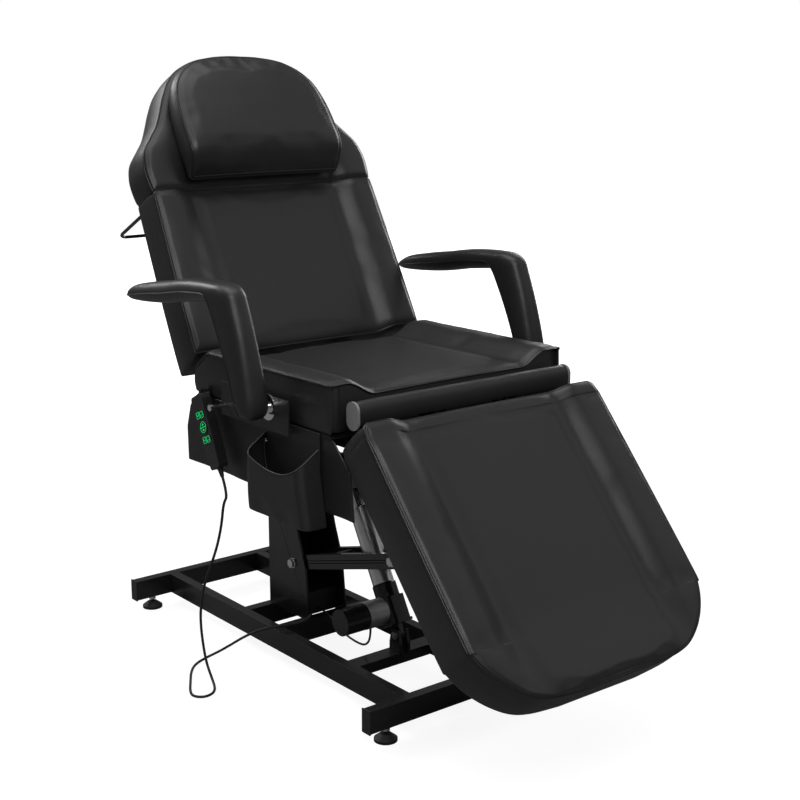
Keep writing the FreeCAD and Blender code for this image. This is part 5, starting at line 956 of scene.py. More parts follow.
    def pipe(self, panel: Array) -> None:
        """Piping along the seam between the face panel and the side walls.

        The thinner corner beads run straight down from the near corners, pushed out by a
        share of the bulge times the sine of pi times the share of the way down.

        Args:
            panel: The face panel's points in the section's own frame.
        """
        seam = panel.reshape(-1, 3)[outer_loop(*panel.shape[:2])]
        shape = Shape()
        normal = np.array([0.0, 0.0, 1.0]) @ self.at.matrix()
        carried(shape, self.at.to_chair(seam), self.bead, normal, closed=True)
        if self.corner_seams:
            thinner = 0.6
            down = np.linspace(0.0, 1.0, 12)[:, None]
            bow = self.bulge * thinner * np.sin(math.pi * down[:, 0])
            for corner, sign in ((panel[0, 0], -1.0), (panel[0, -1], 1.0)):
                line = corner + down * (np.array([*corner[:2], self.low + self.bead]) - corner)
                line[:, 0] += sign * bow
                line[:, 1] -= self.way * bow
                carried(shape, self.at.to_chair(line), self.bead * thinner, (1, 0, 0))
        piping = shape.build(f"{self.name}_piping", Look.PIPING)
        dress(piping, self.body)


def outer_loop(rows: int, columns: int) -> Array:
    """Numbers of a grid's outer vertices, once round."""
    first = np.arange(columns)
    right = np.arange(1, rows) * columns + columns - 1
    last = (rows - 1) * columns + np.arange(columns - 2, -1, -1)
    left = np.arange(rows - 2, 0, -1) * columns
    return np.concatenate([first, right, last, left])


def outward(x: Array, y: Array) -> Array:
    """Unit vectors square to a closed loop, pointing away from its middle."""
    step = np.stack([np.roll(x, -1) - np.roll(x, 1), np.roll(y, -1) - np.roll(y, 1)], axis=-1)
    normal = np.stack([step[:, 1], -step[:, 0]], axis=-1)
    normal /= np.maximum(np.linalg.norm(normal, axis=1, keepdims=True), TINY)
    middle = np.stack([x - x.mean(), y - y.mean()], axis=-1)
    flip = np.sign(np.sum(normal * middle, axis=1).mean())
    return normal * flip


@dataclass
class Upholstery:
    """The seat, back, head, pillow and leg rest, each a Pad in its section's own frame.

    Attributes:
        back: The back's hinge and lean.
        leg: The leg rest's hinge and drop.
        face_of_back: Height of the faces of back and head over the hinge.
        back_start: The back's near end along its section.
        head_start: The head section's near end along the same section.
        thick: Thickness of the back and head.
        gap: Room between a pad and what lies under it.
        pillow_full: Height of the pillow at its fullest.
    """

    back: Hinged = Hinged(294.0, 690.0, 62.5)
    leg: Hinged = Hinged(-281.0, 711.0, 49.2)
    face_of_back: float = 73.0
    back_start: float = 41.0
    head_start: float = 421.4
    thick: float = 95.0
    gap: float = 0.4
    pillow_full: float = 62.0

    def seat(self) -> Pad:
        """The seat: side bolsters, a dished middle and a rear end that falls under the back."""
        low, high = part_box("seat_cushion")
        length, half = (high.y - low.y) / MM, high.x / MM
        places, drops = zip((0, 0), (length - 67, 4), (length - 37, 27), (length - 10, 48), (length, 60))
        fades, shares = zip((0, 1), (length - 67, 1), (length - 37, 0.8), (length, 0.4))
        outline = [
            (0, half - 24), (4, half - 13), (13, half - 4), (28, half), (length - 60, half),
            (length - 8, half - 6),
        ]
        return Pad(
            "seat_cover", "seat_cushion", "seat", Hinged(), outline,
            start=low.y / MM, way=1.0, low=low.z / MM, top=high.z / MM - 1.0,
            wing=42.0, slope=72.0, dip=31.0, crown=5.0, edge=7.0, roll=11.0, corner_seams=True,
            dip_share=lambda along: np.interp(along, fades, shares),
            drop=lambda along: np.interp(along, places, drops),
            puffing=Puffing(cap=3.0),
        )

    def backrest(self) -> Pad:
        """The back, leaning at its lower end to clear the seat."""
        outline = [(0, 308), (10, 313), (120, 311), (260, 306), (366, 302), (376, 299), (380, 294)]
        return Pad(
            "back_cover", "back_cushion", "back", self.back, outline,
            start=self.back_start, way=1.0, low=self.face_of_back - self.thick + self.gap,
            top=self.face_of_back, dip=23.0, lean=0.295, lean_fades=120.0,
        )

    def head(self) -> Pad:
        """The head section, drawn in above the shoulders to a rounded top."""
        outline = [
            (0, 296), (6, 303), (40, 307), (66, 305), (97, 295), (127, 271), (156, 247), (188, 229),
            (225, 210), (263, 186), (288, 160), (306, 128), (319, 92), (327, 46),
        ]
        return Pad(
            "head_cover", "head_cushion", "back", self.back, outline,
            start=self.head_start, way=1.0, low=self.face_of_back - self.thick + self.gap,
            top=self.face_of_back, edge=11.0, roll=17.0,
            dip_share=lambda along: 1.0 - eased(along / 110.0),
        )

    def pillow(self) -> Pad:
        """The head pillow: a wedge, fullest at a crease above its lower seam."""
        rest = self.face_of_back + 5.0 + self.gap
        places, shares = zip(
            (0, 0.32), (8, 0.46), (18, 0.64), (30, 0.82), (40, 0.93), (50, 0.985), (60, 1.0),
            (76, 0.985), (110, 0.93), (150, 0.86), (210, 0.74), (250, 0.64), (272, 0.56), (286, 0.46),
            (292, 0.4),
        )
        outline = [
            (0, 196), (9, 202), (70, 206), (145, 204), (205, 191), (240, 168), (264, 138), (280, 104),
            (290, 60),
        ]
        return Pad(
            "pillow_cover", "head_pillow", "pillow", self.back, outline,
            start=self.head_start + 18.0, way=1.0, low=rest, top=rest + self.pillow_full,
            dip=0.0, wing=60.0, crown=4.0, edge=7.0, roll=18.0, bulge=6.0, pitch=7.0, shift=-10.0,
            fill=0.7, drop=lambda along: self.pillow_full * (1.0 - np.interp(along, places, shares)),
            puffing=Puffing(pressure=2.6, cap=5.0, slack=0.008),
        )

    def leg_rest(self) -> Pad:
        """The leg rest: bolsters down both sides and rounded far corners."""
        outline = [
            (0, 296), (8, 307), (30, 311), (60, 312), (440, 312), (480, 306), (520, 286), (556, 254),
            (585, 212), (598, 166), (604, 96),
        ]
        return Pad(
            "leg_cover", "leg_cushion", "leg_rest", self.leg, outline,
            start=-40.0, way=-1.0, low=-48.6, top=51.0, edge=8.0, dip=23.0,
            dip_share=lambda along: eased((620.0 - along) / 190.0),
        )

    def make(self) -> None:
        """Builds the five in turn."""
        for pad in (self.seat(), self.backrest(), self.head(), self.pillow(), self.leg_rest()):
            pad.make()


@dataclass
class Roll:
    """The padded roll over the leg hinge: an oval carried across, open below.

    Attributes:
        height: Height of its axis above the floor.
        tall: Its own height.
        inset: How far the cover stays inside the solid's size.
        opening: Where the oval starts and ends, in degrees from the rear over the top.
        sides: Points round the oval.
        square: Powers of the cosine and sine, which square the oval off.
        wave: How much the size waves along the roll.
        pinch: How much the size is drawn in at both ends.
        slots: Distances from the middle between which the hinge arms have room.
        slots_below: How far below the axis that room starts.
        skin: Thickness of the cover.
    """

    height: float = 711.0
    tall: float = 57.0
    inset: float = 0.6
    opening: Pair = (-48.0, 228.0)
    sides: int = 44
    square: Pair = (0.8, 0.9)
    wave: float = 0.012
    pinch: float = 0.05
    slots: Sequence[Pair] = ((62.0, 78.0), (90.0, 134.0))
    slots_below: float = 17.0
    skin: float = 2.0

    def surface(self) -> Array:
        """The cover as a grid: rows across the chair, columns round the oval.

        A point is the axis plus the half size times the cosine or sine, each raised to a
        power below one with its sign kept. The size swells by the product of two slow sine
        waves and is drawn in towards the ends by an exponential.
        """
        low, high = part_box("filler_roll")
        half, deep = high.x / MM, (high.y - low.y) / 2 / MM
        across = graded(2 * half, 7.0) - half
        turn = np.linspace(*np.radians(self.opening), self.sides)
        cos, sin = np.cos(turn), np.sin(turn)
        swell = 1.0 + self.wave * np.sin(across / 19.0) * np.sin(across / 53.0)
        size = (swell * (1.0 - self.pinch * np.exp(-(half - np.abs(across)) / 6.0)))[:, None]
        depth_power, height_power = self.square
        y = (deep - self.inset) * size * np.sign(cos) * np.abs(cos) ** depth_power
        z = (self.tall / 2 - self.inset) * size * np.sign(sin) * np.abs(sin) ** height_power
        x = np.repeat(across[:, None], self.sides, axis=1)
        return np.stack([x, (high.y + low.y) / 2 / MM + y, self.height + z], axis=-1)

    def make(self) -> None:
        """Builds the cover with its openings for the hinge arms."""
        points = self.surface()
        centres = (points[:-1, :-1] + points[1:, 1:]) / 2
        middle = (np.abs(points[:-1, :-1, 0]) + np.abs(points[1:, 1:, 0])) / 2
        below = centres[..., 2] < self.height - self.slots_below
        arms = np.any([(middle > near) & (middle < far) for near, far in self.slots], axis=0)
        shape = Shape()
        shape.join(shape.add(points), keep=~(arms & below))
        piece = shape.build("filler_roll_cover", Look.VINYL)
        walled(piece, self.skin, -1.0)
        smoothed(piece)
        dress(piece, "seat", "filler_roll")


@dataclass
class Armrest:
    """A padded arm: a leaning post that turns back into a tapering pad.

    Each station gives, in side view from the hub, a point of the seam, of the padded crown
    and of the flat underside, and the half width there. The same share runs along all three,
    so that the tight inner corner of the seam and the round outer corner belong together.

    Attributes:
        side: "left" or "right", as the sitter has it.
        sign: 1 on the sitter's left, -1 on the right.
        hub_y: The hub's place.
        hub_z: The hub's height.
        middle_x: Distance of the arm's middle from the chair's.
        bead: Radius of the piping.
        bead_in: Share of the seam's offset at which the piping lies.
        seam_near: How near to the seam a vertex is held, in millimetres.
        rings: How many sections the skin has.
        stations: The sections that the skin passes.
        crown: Shares across and up of the section above the seam.
        under: Shares across and down below it.
    """

    side: str
    sign: float
    hub_y: float = -81.0
    hub_z: float = 702.0
    middle_x: float = 384.0
    bead: float = 2.1
    bead_in: float = 0.975
    seam_near: float = 2.0
    rings: int = 104
    stations: Sequence[tuple[float, ...]] = (
        (2, -20, -4, -22, 5, -19, 9), (8, -15, -18, -16, 11, -14, 24), (11, -5, -24, -4, 15, -5, 31),
        (14, 8, -24, 14, 19, 7, 33), (23, 27, -18, 43, 29, 25, 33), (37, 68, -7, 87, 43, 65, 33),
        (63, 125, 12, 148, 69, 122, 33), (97, 187, 35, 208, 101, 183, 33),
        (112, 208, 46, 230, 109, 195, 33), (121, 217, 74, 242, 117, 201, 33),
        (129, 219, 112, 243, 128, 202, 33), (142, 219, 148, 242, 142, 201, 33),
        (212, 213, 216, 236, 210, 193, 33), (295, 200, 299, 223, 293, 179, 33),
        (370, 190, 373, 212, 368, 171, 32), (428, 181, 430, 202, 426, 167, 27),
        (462, 175, 463, 190, 460, 166, 19), (481, 172, 482, 180, 479, 168, 10),
        (490, 171, 491, 173, 489, 169, 3),
    )
    crown: Sequence[Pair] = (
        (1.0, 0.0), (1.0, 0.18), (0.98, 0.36), (0.93, 0.55), (0.85, 0.72), (0.73, 0.85), (0.56, 0.94),
        (0.3, 0.99), (0.0, 1.0),
    )
    under: Sequence[Pair] = (
        (0.0, -1.0), (0.3, -1.0), (0.55, -0.98), (0.72, -0.86), (0.84, -0.62), (0.93, -0.32),
    )

    def section(self) -> Array:
        """Shares across and up of the points round a section, from the outer seam over the crown."""
        crown, under = np.array(self.crown), np.array(self.under)
        mirror = np.array([-1.0, 1.0])
        return np.vstack([crown, crown[-2::-1] * mirror, under[:0:-1] * mirror, under])

    def surface(self) -> tuple[Array, Array]:
        """The skin and its end points.

        A point is the seam's, plus its share up of the way to the crown or down to the
        underside, plus its share across of the half width.
        """
        line = curve_through(self.stations, self.rings)
        seam, crown, under = (line[:, None, k:k + 2] for k in (0, 2, 4))
        share = self.section()
        up = np.maximum(share[:, 1], 0.0)[None, :, None]
        down = np.maximum(-share[:, 1], 0.0)[None, :, None]
        flat = seam + up * (crown - seam) + down * (under - seam)
        across = line[:, 6, None] * share[None, :, 0]
        points = np.concatenate([(self.sign * (self.middle_x + across))[..., None], flat], axis=-1)
        points = points + np.array([0.0, self.hub_y, self.hub_z])
        beyond = np.array([[0.0, -1.0, -1.5], [0.0, 3.0, 0.0]])
        return points, points[[0, -1]].mean(axis=1) + beyond

    def make(self) -> None:
        """Builds the cover and the piping along its seam, once round the arm."""
        body = f"armrest_{self.side}"
        points, ends = self.surface()
        shape = Shape()
        numbers = shape.add(points)
        shape.join(numbers, closed=True)
        shape.fan(numbers[0], ends[0])
        shape.fan(numbers[-1], ends[1])
        piece = shape.build(f"{body}_cover", Look.VINYL)
        far = 2 * (len(self.crown) - 1)
        seam = np.vstack([points[:, 0], ends[1:], points[::-1, far], ends[:1]])
        away = np.linalg.norm(vertices_of(piece)[:, None, :] - seam[None] * MM, axis=2).min(axis=1)
        held = np.where(away < self.seam_near * MM, 1.0, 0.0)
        Puffing(pressure=1.6, cap=1.5, slack=0.002).fill(piece, held)
        smoothed(piece)
        dress(piece, body, body)
        middle = self.sign * self.middle_x
        seam[:, 0] = middle + (seam[:, 0] - middle) * self.bead_in
        piping = Shape()
        carried(piping, seam, self.bead, (0, 0.3, 1), closed=True, sides=6)
        dress(piping.build(f"{body}_piping", Look.PIPING), body)


# Skirts and pocket


@dataclass
class Skirts:
    """The hanging side flaps with their front wings.

    Attributes:
        flap_x: Distance of a flap from the chair's middle.
        wing_x: The same of a wing.
        top: Height of a flap's upper edge.
        wing_top: Height of a wing's upper edge.
        low: Height of both lower edges.
        front: Where a flap starts.
        wing_rear: Where a wing ends, behind the start of its flap.
        rear_edge: Heights and places of a flap's rear edge, from below.
        front_edge: Heights and places of a wing's front edge, from below.
        wall: Thickness of the skirt.
        hem: Radius of the turned hem.
    """

    flap_x: float = 307.5
    wing_x: float = 302.5
    top: float = 665.0
    wing_top: float = 657.0
    low: float = 507.0
    front: float = -202.0
    wing_rear: float = -192.0
    rear_edge: Sequence[Pair] = (
        (507.0, 298.0), (582.0, 302.0), (632.0, 287.0), (665.0, 254.0),
    )
    front_edge: Sequence[Pair] = (
        (507.0, -305.0), (599.0, -294.0), (635.0, -259.0), (657.0, -239.0),
    )
    wall: float = 4.0
    hem: float = 2.0

    def flap(self, sign: float) -> Array:
        """A flap's grid: rows down from its top edge, columns from front to rear.

        Its rear edge slants back from the top and then falls. Two sine waves along it, which
        grow with the share of the way down, ripple it in and out by up to 2 mm.
        """
        down = np.linspace(0.0, 1.0, 40)[:, None]
        z = self.top + (self.low - self.top) * down
        rear = np.interp(z, *zip(*self.rear_edge))
        y = self.front + (rear - self.front) * np.linspace(0.0, 1.0, 96)[None, :]
        ripple = 1.6 * down * np.sin(y / 41.0 + 0.6) + 0.7 * down**2 * np.sin(y / 17.0 + 3.0 * down)
        return np.stack(np.broadcast_arrays(sign * (self.flap_x + ripple), y, z), axis=-1)

    def wing(self, sign: float) -> Array:
        """The wing ahead of a flap: rows down, its front edge stepping forward below the seat.

        A sine wave along it, which grows with the share of the way down, ripples it in and out.
        """
        down = np.linspace(0.0, 1.0, 36)[:, None]
        z = self.wing_top + (self.low - self.wing_top) * down
        front = np.interp(z, *zip(*self.front_edge))
        y = front + (self.wing_rear - front) * np.linspace(0.0, 1.0, 26)[None, :]
        x = sign * (self.wing_x + 1.2 * down * np.sin(y / 19.0))
        return np.stack(np.broadcast_arrays(x, y, z), axis=-1)

    def make(self) -> None:
        """Builds both flaps and wings as one piece, and a hem along their free edges."""
        shape, hems = Shape(), Shape()
        for sign in (-1.0, 1.0):
            flap, wing = self.flap(sign), self.wing(sign)
            edges = (np.vstack([flap[1:, -1], flap[-1, ::-1]]), np.vstack([wing[1:, 0], wing[-1]]))
            for grid, edge in zip((flap, wing), edges):
                shape.join(shape.add(grid))
                carried(hems, edge, self.hem, (1, 0, 0), sides=6)
        piece = shape.build("skirt_panels", Look.POCKET)
        walled(piece, self.wall, 0.0)
        dress(piece, "seat", "side_skirts")
        dress(hems.build("skirt_hems", Look.POCKET), "seat")


@dataclass
class Pocket:
    """The pocket on the sitter's right: a wall carried round a U over a flat bottom.

    Attributes:
        corner: Radius of the U's two corners.
        lip: Height of the lip beside the skirt.
        lip_falls: How much lower the lip is on the outside.
        scoop: How much deeper the lip is in the middle of the outside.
        belly: How far the outside bows out halfway down.
        crease: Height of the waves near the bottom.
        lean: How far the front leans back at the lip.
        wall: Thickness of the wall.
        rows: Rows of the wall.
        binding: Radius of the bead along the lip.
        ridge: Radius of the bead down the front corner.
    """

    corner: float = 16.0
    lip: float = 630.0
    lip_falls: float = 34.0
    scoop: float = 22.0
    belly: float = 1.98
    crease: float = 0.8
    lean: float = 26.0
    wall: float = 2.4
    rows: int = 34
    binding: float = 2.2
    ridge: float = 1.2

    def limits(self) -> tuple[float, float, float, float, float]:
        """Inner and outer X, front and rear Y and the bottom's Z, just inside the CAD solid."""
        low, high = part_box("skirt_pocket")
        inset = 1.5
        return (
            high.x / MM - 1.0, low.x / MM + inset, low.y / MM + inset, high.y / MM - inset,
            low.z / MM + inset,
        )

    def way(self) -> Array:
        """The U seen from above: from the skirt at the rear, round the outside, and back in front."""
        inner, outer, front, rear, _ = self.limits()
        turn = np.linspace(0.0, math.pi / 2, 9)
        cos, sin = self.corner * np.cos(turn), self.corner * np.sin(turn)
        x, near, far = outer + self.corner, front + self.corner, rear - self.corner
        side = np.linspace(inner, x, 9)[:-1]
        face = np.linspace(far, near, 44)[1:-1]
        return np.vstack([
            np.column_stack([side, np.full(len(side), rear)]),
            np.column_stack([x - sin, far + cos]),
            np.column_stack([np.full(len(face), outer), face]),
            np.column_stack([x - cos, near - sin]),
            np.column_stack([side[::-1], np.full(len(side), front)]),
        ])

    def surface(self) -> Array:
        """The pocket as a grid: columns the way round the U, rows down the wall and the bottom.

        The lip falls with the share of the way out, less a parabola along the outside. The
        wall bows out by the sine of pi times the share of the way down, with waves that grow
        towards the bottom, and its front half leans back towards the lip. The bottom draws in
        to the skirt by shares.
        """
        inner, outer, front, rear, bottom = self.limits()
        way = self.way()
        middle = (front + rear) / 2
        out = np.clip((inner - way[:, 0]) / (inner - outer), 0, 1)
        scoop = self.scoop * (1.0 - ((way[:, 1] - middle) / ((rear - front) / 2)) ** 2)
        lip = self.lip - self.lip_falls * out - np.maximum(scoop, 0.0) * eased(out * 1.4 - 0.4)
        down = np.linspace(0.0, 1.0, self.rows)[:, None]
        waves = np.sin(way[:, 1] / 13.0 + down * 5.0) * eased(down * 1.6 - 0.5)
        x = way[:, 0] + 2.0 - out * (self.belly * np.sin(math.pi * down) + self.crease * waves)
        y = way[:, 1] + self.lean * (1.0 - down) * eased((middle - way[:, 1]) / (middle - front))
        wall = np.stack([x, y, lip + (bottom - lip) * down], axis=-1)
        drawn_in = x[-1] + (inner - x[-1]) * np.linspace(0.12, 1.0, 10)[:, None]
        base = np.stack(np.broadcast_arrays(drawn_in, way[:, 1], bottom), axis=-1)
        return np.concatenate([wall, base])

    def make(self) -> None:
        """Builds the pocket, the binding along its lip and the ridge down its front corner."""
        grid = self.surface()
        shape = Shape()
        shape.join(shape.add(grid))
        piece = shape.build("pocket_panel", Look.POCKET)
        walled(piece, self.wall, 0.0)
        smoothed(piece)
        dress(piece, "seat", "skirt_pocket")
        _, outer, front, _, _ = self.limits()
        corner = np.array([outer, front]) + 0.3 * self.corner
        column = int(np.argmin(np.abs(self.way() - corner).sum(axis=1)))
        beads = Shape()
        carried(beads, grid[0], self.binding, (0.3, 0.2, 1.0))
        carried(beads, grid[:self.rows, column], self.ridge, (1, 0, 0), sides=6)
        dress(beads.build("pocket_binding", Look.POCKET), "seat")


@dataclass
class Snap:
    """A press stud above the pocket and the thin strap that hangs from it.

    Attributes:
        stud: The middle of the stud's back.
        profile: Distance out and radius of the stud's rings.
        strap: Points that the strap passes.
        thin: The strap's radius.
    """

    stud: Triple = (-311.0, -14.0, 612.0)
    profile: Sequence[Pair] = ((0.0, 5.0), (1.2, 4.8), (2.2, 3.6), (2.6, 0.05))
    strap: Sequence[Triple] = (
        (-314, -14, 610), (-316, -16, 594), (-317, -22, 568), (-317, -30, 540), (-317, -36, 520),
    )
    thin: float = 1.3

    def make(self) -> None:
        """Builds the stud, its profile turned about X, and the strap."""
        rings = np.array(self.profile)
        turn = np.linspace(0, 2 * math.pi, 24, endpoint=False)
        out, radius = rings[:, :1], rings[:, 1:]
        turned = np.broadcast_arrays(-out, radius * np.cos(turn), radius * np.sin(turn))
        shape = Shape()
        numbers = shape.add(np.array(self.stud) + np.stack(turned, axis=-1))
        shape.join(numbers, closed=True)
        shape.fan(numbers[0], np.array(self.stud))
        dress(shape.build("pocket_stud", Look.ZINC), "seat")
        tail = Shape()
        carried(tail, curve_through(self.strap, 24), self.thin, (1, 0, 0), sides=6)
        dress(tail.build("pocket_strap", Look.RUBBER), "seat")


# Cords


@dataclass
class Cable:
    """A round cord that follows a spline with the route's points as control points.

    Attributes:
        name: The piece's name.
        node: The CAD node that it replaces.
        route: The spline's control points, in metres.
        radius: The cord's radius.
        length: The cord's length; not used.
        exit: Where it leaves its first fitting; not used.
        far_end: What holds its far end; not used.
        stiffness: How stiff it is, in a word; not used.
        lay: How it lies, in a word; not used.
    """

    name: str
    node: str
    route: Sequence[Triple]
    radius: float
    length: float
    exit: Triple
    far_end: str
    stiffness: str
    lay: str

    def curve(self, bevel: float) -> bpy.types.Curve:
        """The route as one NURBS spline of order 3 that reaches its end points."""
        data = bpy.data.curves.new(self.name, "CURVE")
        data.dimensions = "3D"
        data.resolution_u = 10
        data.bevel_depth = bevel
        data.bevel_resolution = 4
        data.use_fill_caps = bevel > 0
        spline = data.splines.new("NURBS")
        spline.points.add(len(self.route) - 1)
        for point, place in zip(spline.points, self.route):
            point.co = (*place, 1.0)
        spline.order_u = 3
        spline.use_endpoint_u = True
        return data

    def meshed(self, bevel: float) -> bpy.types.Mesh:
        """The spline as a mesh: a line with no bevel, or a tube."""
        holder = bpy.data.objects.new(f"{self.name}_curve", self.curve(bevel))
        bpy.context.scene.collection.objects.link(holder)
        graph = bpy.context.evaluated_depsgraph_get()
        mesh = bpy.data.meshes.new_from_object(holder.evaluated_get(graph))
        bpy.data.objects.remove(holder)
        return mesh

    def make(self) -> bpy.types.Object:
        """The tube as a mesh piece; logs the length of its own line and hides the CAD node."""
        line = [tuple(vertex.co) for vertex in self.meshed(0.0).vertices]
        mesh = self.meshed(self.radius)
        mesh.name = self.name
        mesh.shade_smooth()
        piece = bpy.data.objects.new(self.name, mesh)
        bpy.context.scene.collection.objects.link(piece)
        PAINT.coat(piece, Look.RUBBER)
        steps = np.linalg.norm(np.diff(np.array(line), axis=0), axis=1)
        LOG.info("%s is %.4f m along its line", self.name, float(steps.sum()))
        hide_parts(self.node)
        return piece


@dataclass
class Cords:
    """The handset's cord in its two stretches, and the sheathed motor leads.

    Attributes:
        hanging: Route from the handset down to the lift arms, in metres.
        floor: Route from there over the floor to the control box.
        leads: Route from the motor to the control box.
        cord: Radius of the handset's cord.
        sheath: Radius of the motor leads.
    """

    hanging: Sequence[Triple] = (
        (-0.336, 0.1185, 0.5087), (-0.336, 0.0994, 0.4712), (-0.336, 0.118, 0.450),
        (-0.335, 0.129, 0.400), (-0.335, 0.148, 0.349), (-0.335, 0.174, 0.300),
        (-0.335, 0.207, 0.246), (-0.334011, 0.220852, 0.211371),
    )
    floor: Sequence[Triple] = (
        (-0.334, 0.221, 0.211), (-0.333, 0.234, 0.172), (-0.331, 0.238, 0.128), (-0.329, 0.234, 0.084),
        (-0.328, 0.224, 0.044), (-0.328, 0.202, 0.014), (-0.338, 0.172, 0.004), (-0.357, 0.149, 0.004),
        (-0.384, 0.144, 0.004), (-0.401, 0.165, 0.004), (-0.391, 0.193, 0.004), (-0.364, 0.236, 0.004),
        (-0.338, 0.278, 0.004), (-0.308, 0.312, 0.004), (-0.270, 0.326, 0.006), (-0.242, 0.310, 0.020),
        (-0.222, 0.284, 0.042), (-0.202, 0.256, 0.066), (-0.178, 0.226, 0.086), (-0.146, 0.202, 0.093),
        (-0.110, 0.186, 0.093), (-0.074, 0.188, 0.095), (-0.044, 0.206, 0.099), (-0.030, 0.239, 0.104),
    )
    leads: Sequence[Triple] = (
        (-0.060, -0.0402, 0.1450), (-0.060, -0.0402, 0.118), (-0.060, -0.022, 0.096),
        (-0.056, 0.014, 0.090), (-0.048, 0.060, 0.088), (-0.036, 0.106, 0.088),
        (-0.022, 0.152, 0.088), (-0.008, 0.196, 0.091), (0.0, 0.239, 0.095),
    )
    cord: float = 0.003
    sheath: float = 0.0025

    def make(self) -> None:
        """Builds the three and ties the motor leads to the base."""
        upper = Cable(
            "handset_cord_upper", "handset_cord_hanging", self.hanging, self.cord, 0.33,
            self.hanging[0], "object", "medium", "hanging",
        ).make()
        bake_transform(upper)
        lower = Cable(
            "handset_cord_lower", "handset_cord_floor", self.floor, self.cord, 0.872,
            self.floor[0], "object", "medium", "loose",
        ).make()
        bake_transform(lower)
        wires = Cable(
            "motor_lead_sheath", "motor_leads", self.leads, self.sheath, 0.3,
            self.leads[0], "object", "medium", "loose",
        ).make()
        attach(wires, "base")


# Handset symbols


@dataclass
class Symbols:
    """Green outlines and plain pictograms on the handset's six buttons.

    Attributes:
        tilt: The handset's lean, in degrees.
        proud: How far the print stands out of a button.
        line: Half the width of a line.
        dome: Half the width, and the height, of a lift button's half disc.
        plate: Half the width, half the height and corner of the other buttons' outline.
        arrow: Corners of the arrow on the raising button.
        bend: How far the chair in a pictogram bends at its far end.
        tick: Two points of the short stroke beside that chair.
    """

    tilt: float = 27.0
    proud: float = 0.25
    line: float = 0.38
    dome: Pair = (11.6, 12.2)
    plate: Triple = (6.0, 6.8, 1.6)
    arrow: Sequence[Pair] = ((-4.2, -1.4), (4.2, -1.4), (0.0, 3.2))
    bend: float = 0.96
    tick: Sequence[Pair] = ((2.2, 4.2), (3.6, 4.2))

    def on_face(self, centre: Array, flat: Array) -> Array:
        """Points of a drawing on the handset's face, seen from the chair's right side."""
        turn = math.radians(self.tilt)
        right = np.array([0.0, -math.cos(turn), math.sin(turn)])
        up = np.array([0.0, math.sin(turn), math.cos(turn)])
        return centre + flat[:, :1] * right + flat[:, 1:] * up

    def half_disc(self, way: float) -> Array:
        """A bow, the cosine across and the sine up, closed by its flat side."""
        half, tall = self.dome
        turn = np.linspace(0.0, math.pi, 22)
        bow = np.column_stack([half * np.cos(turn), way * (tall * np.sin(turn) - tall / 2)])
        flat = np.column_stack([np.linspace(-half, half, 9)[1:-1], np.full(7, -way * tall / 2)])
        return np.vstack([bow, flat])

    def draw(self, node: str, kind: str, way: float) -> None:
        """One button's outline and its pictogram.

        Args:
            node: The button.
            kind: "back", "lift" or "leg".
            way: 1 for up, -1 for down.
        """
        low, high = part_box(node)
        centre = np.array([low.x - self.proud * MM, (low.y + high.y) / 2, (low.z + high.z) / 2]) / MM
        shape = Shape()

        def stroke(flat: Array, share: float = 1.0, closed: bool = False) -> None:
            """Draws a line on the face, its width a share of the usual one."""
            carried(shape, self.on_face(centre, flat), self.line * share, (1, 0, 0), closed, sides=5)

        if kind == "lift":
            ring = self.half_disc(way)
            filled = shape.add(self.on_face(centre, np.array(self.arrow) * [1.0, way]))
            shape.faces.append(tuple(filled.tolist()))
        else:
            ring = rounded_ring(*np.array(self.plate)[:, None], 32)[0]
            bend = self.bend if kind == "back" else -self.bend
            chair = [(-4.0, 3.2 * way), (-1.8, -1.4), (1.8, -1.4), (4.0, 2.2 * way + bend)]
            stroke(curve_through(chair, 16))
            stroke(np.array(self.tick) + [(0.0, 0.0), (0.0, 0.8 * way)], 0.8)
        stroke(ring, closed=True)
        dress(shape.build(f"{node}_symbol", Look.GREEN), node)

    def make(self) -> None:
        """Draws all six."""
        for kind in ("back", "lift", "leg"):
            for word, way in (("up", 1.0), ("down", -1.0)):
                self.draw(f"button_{kind}_{word}", kind, way)


# Metalwork and mouldings


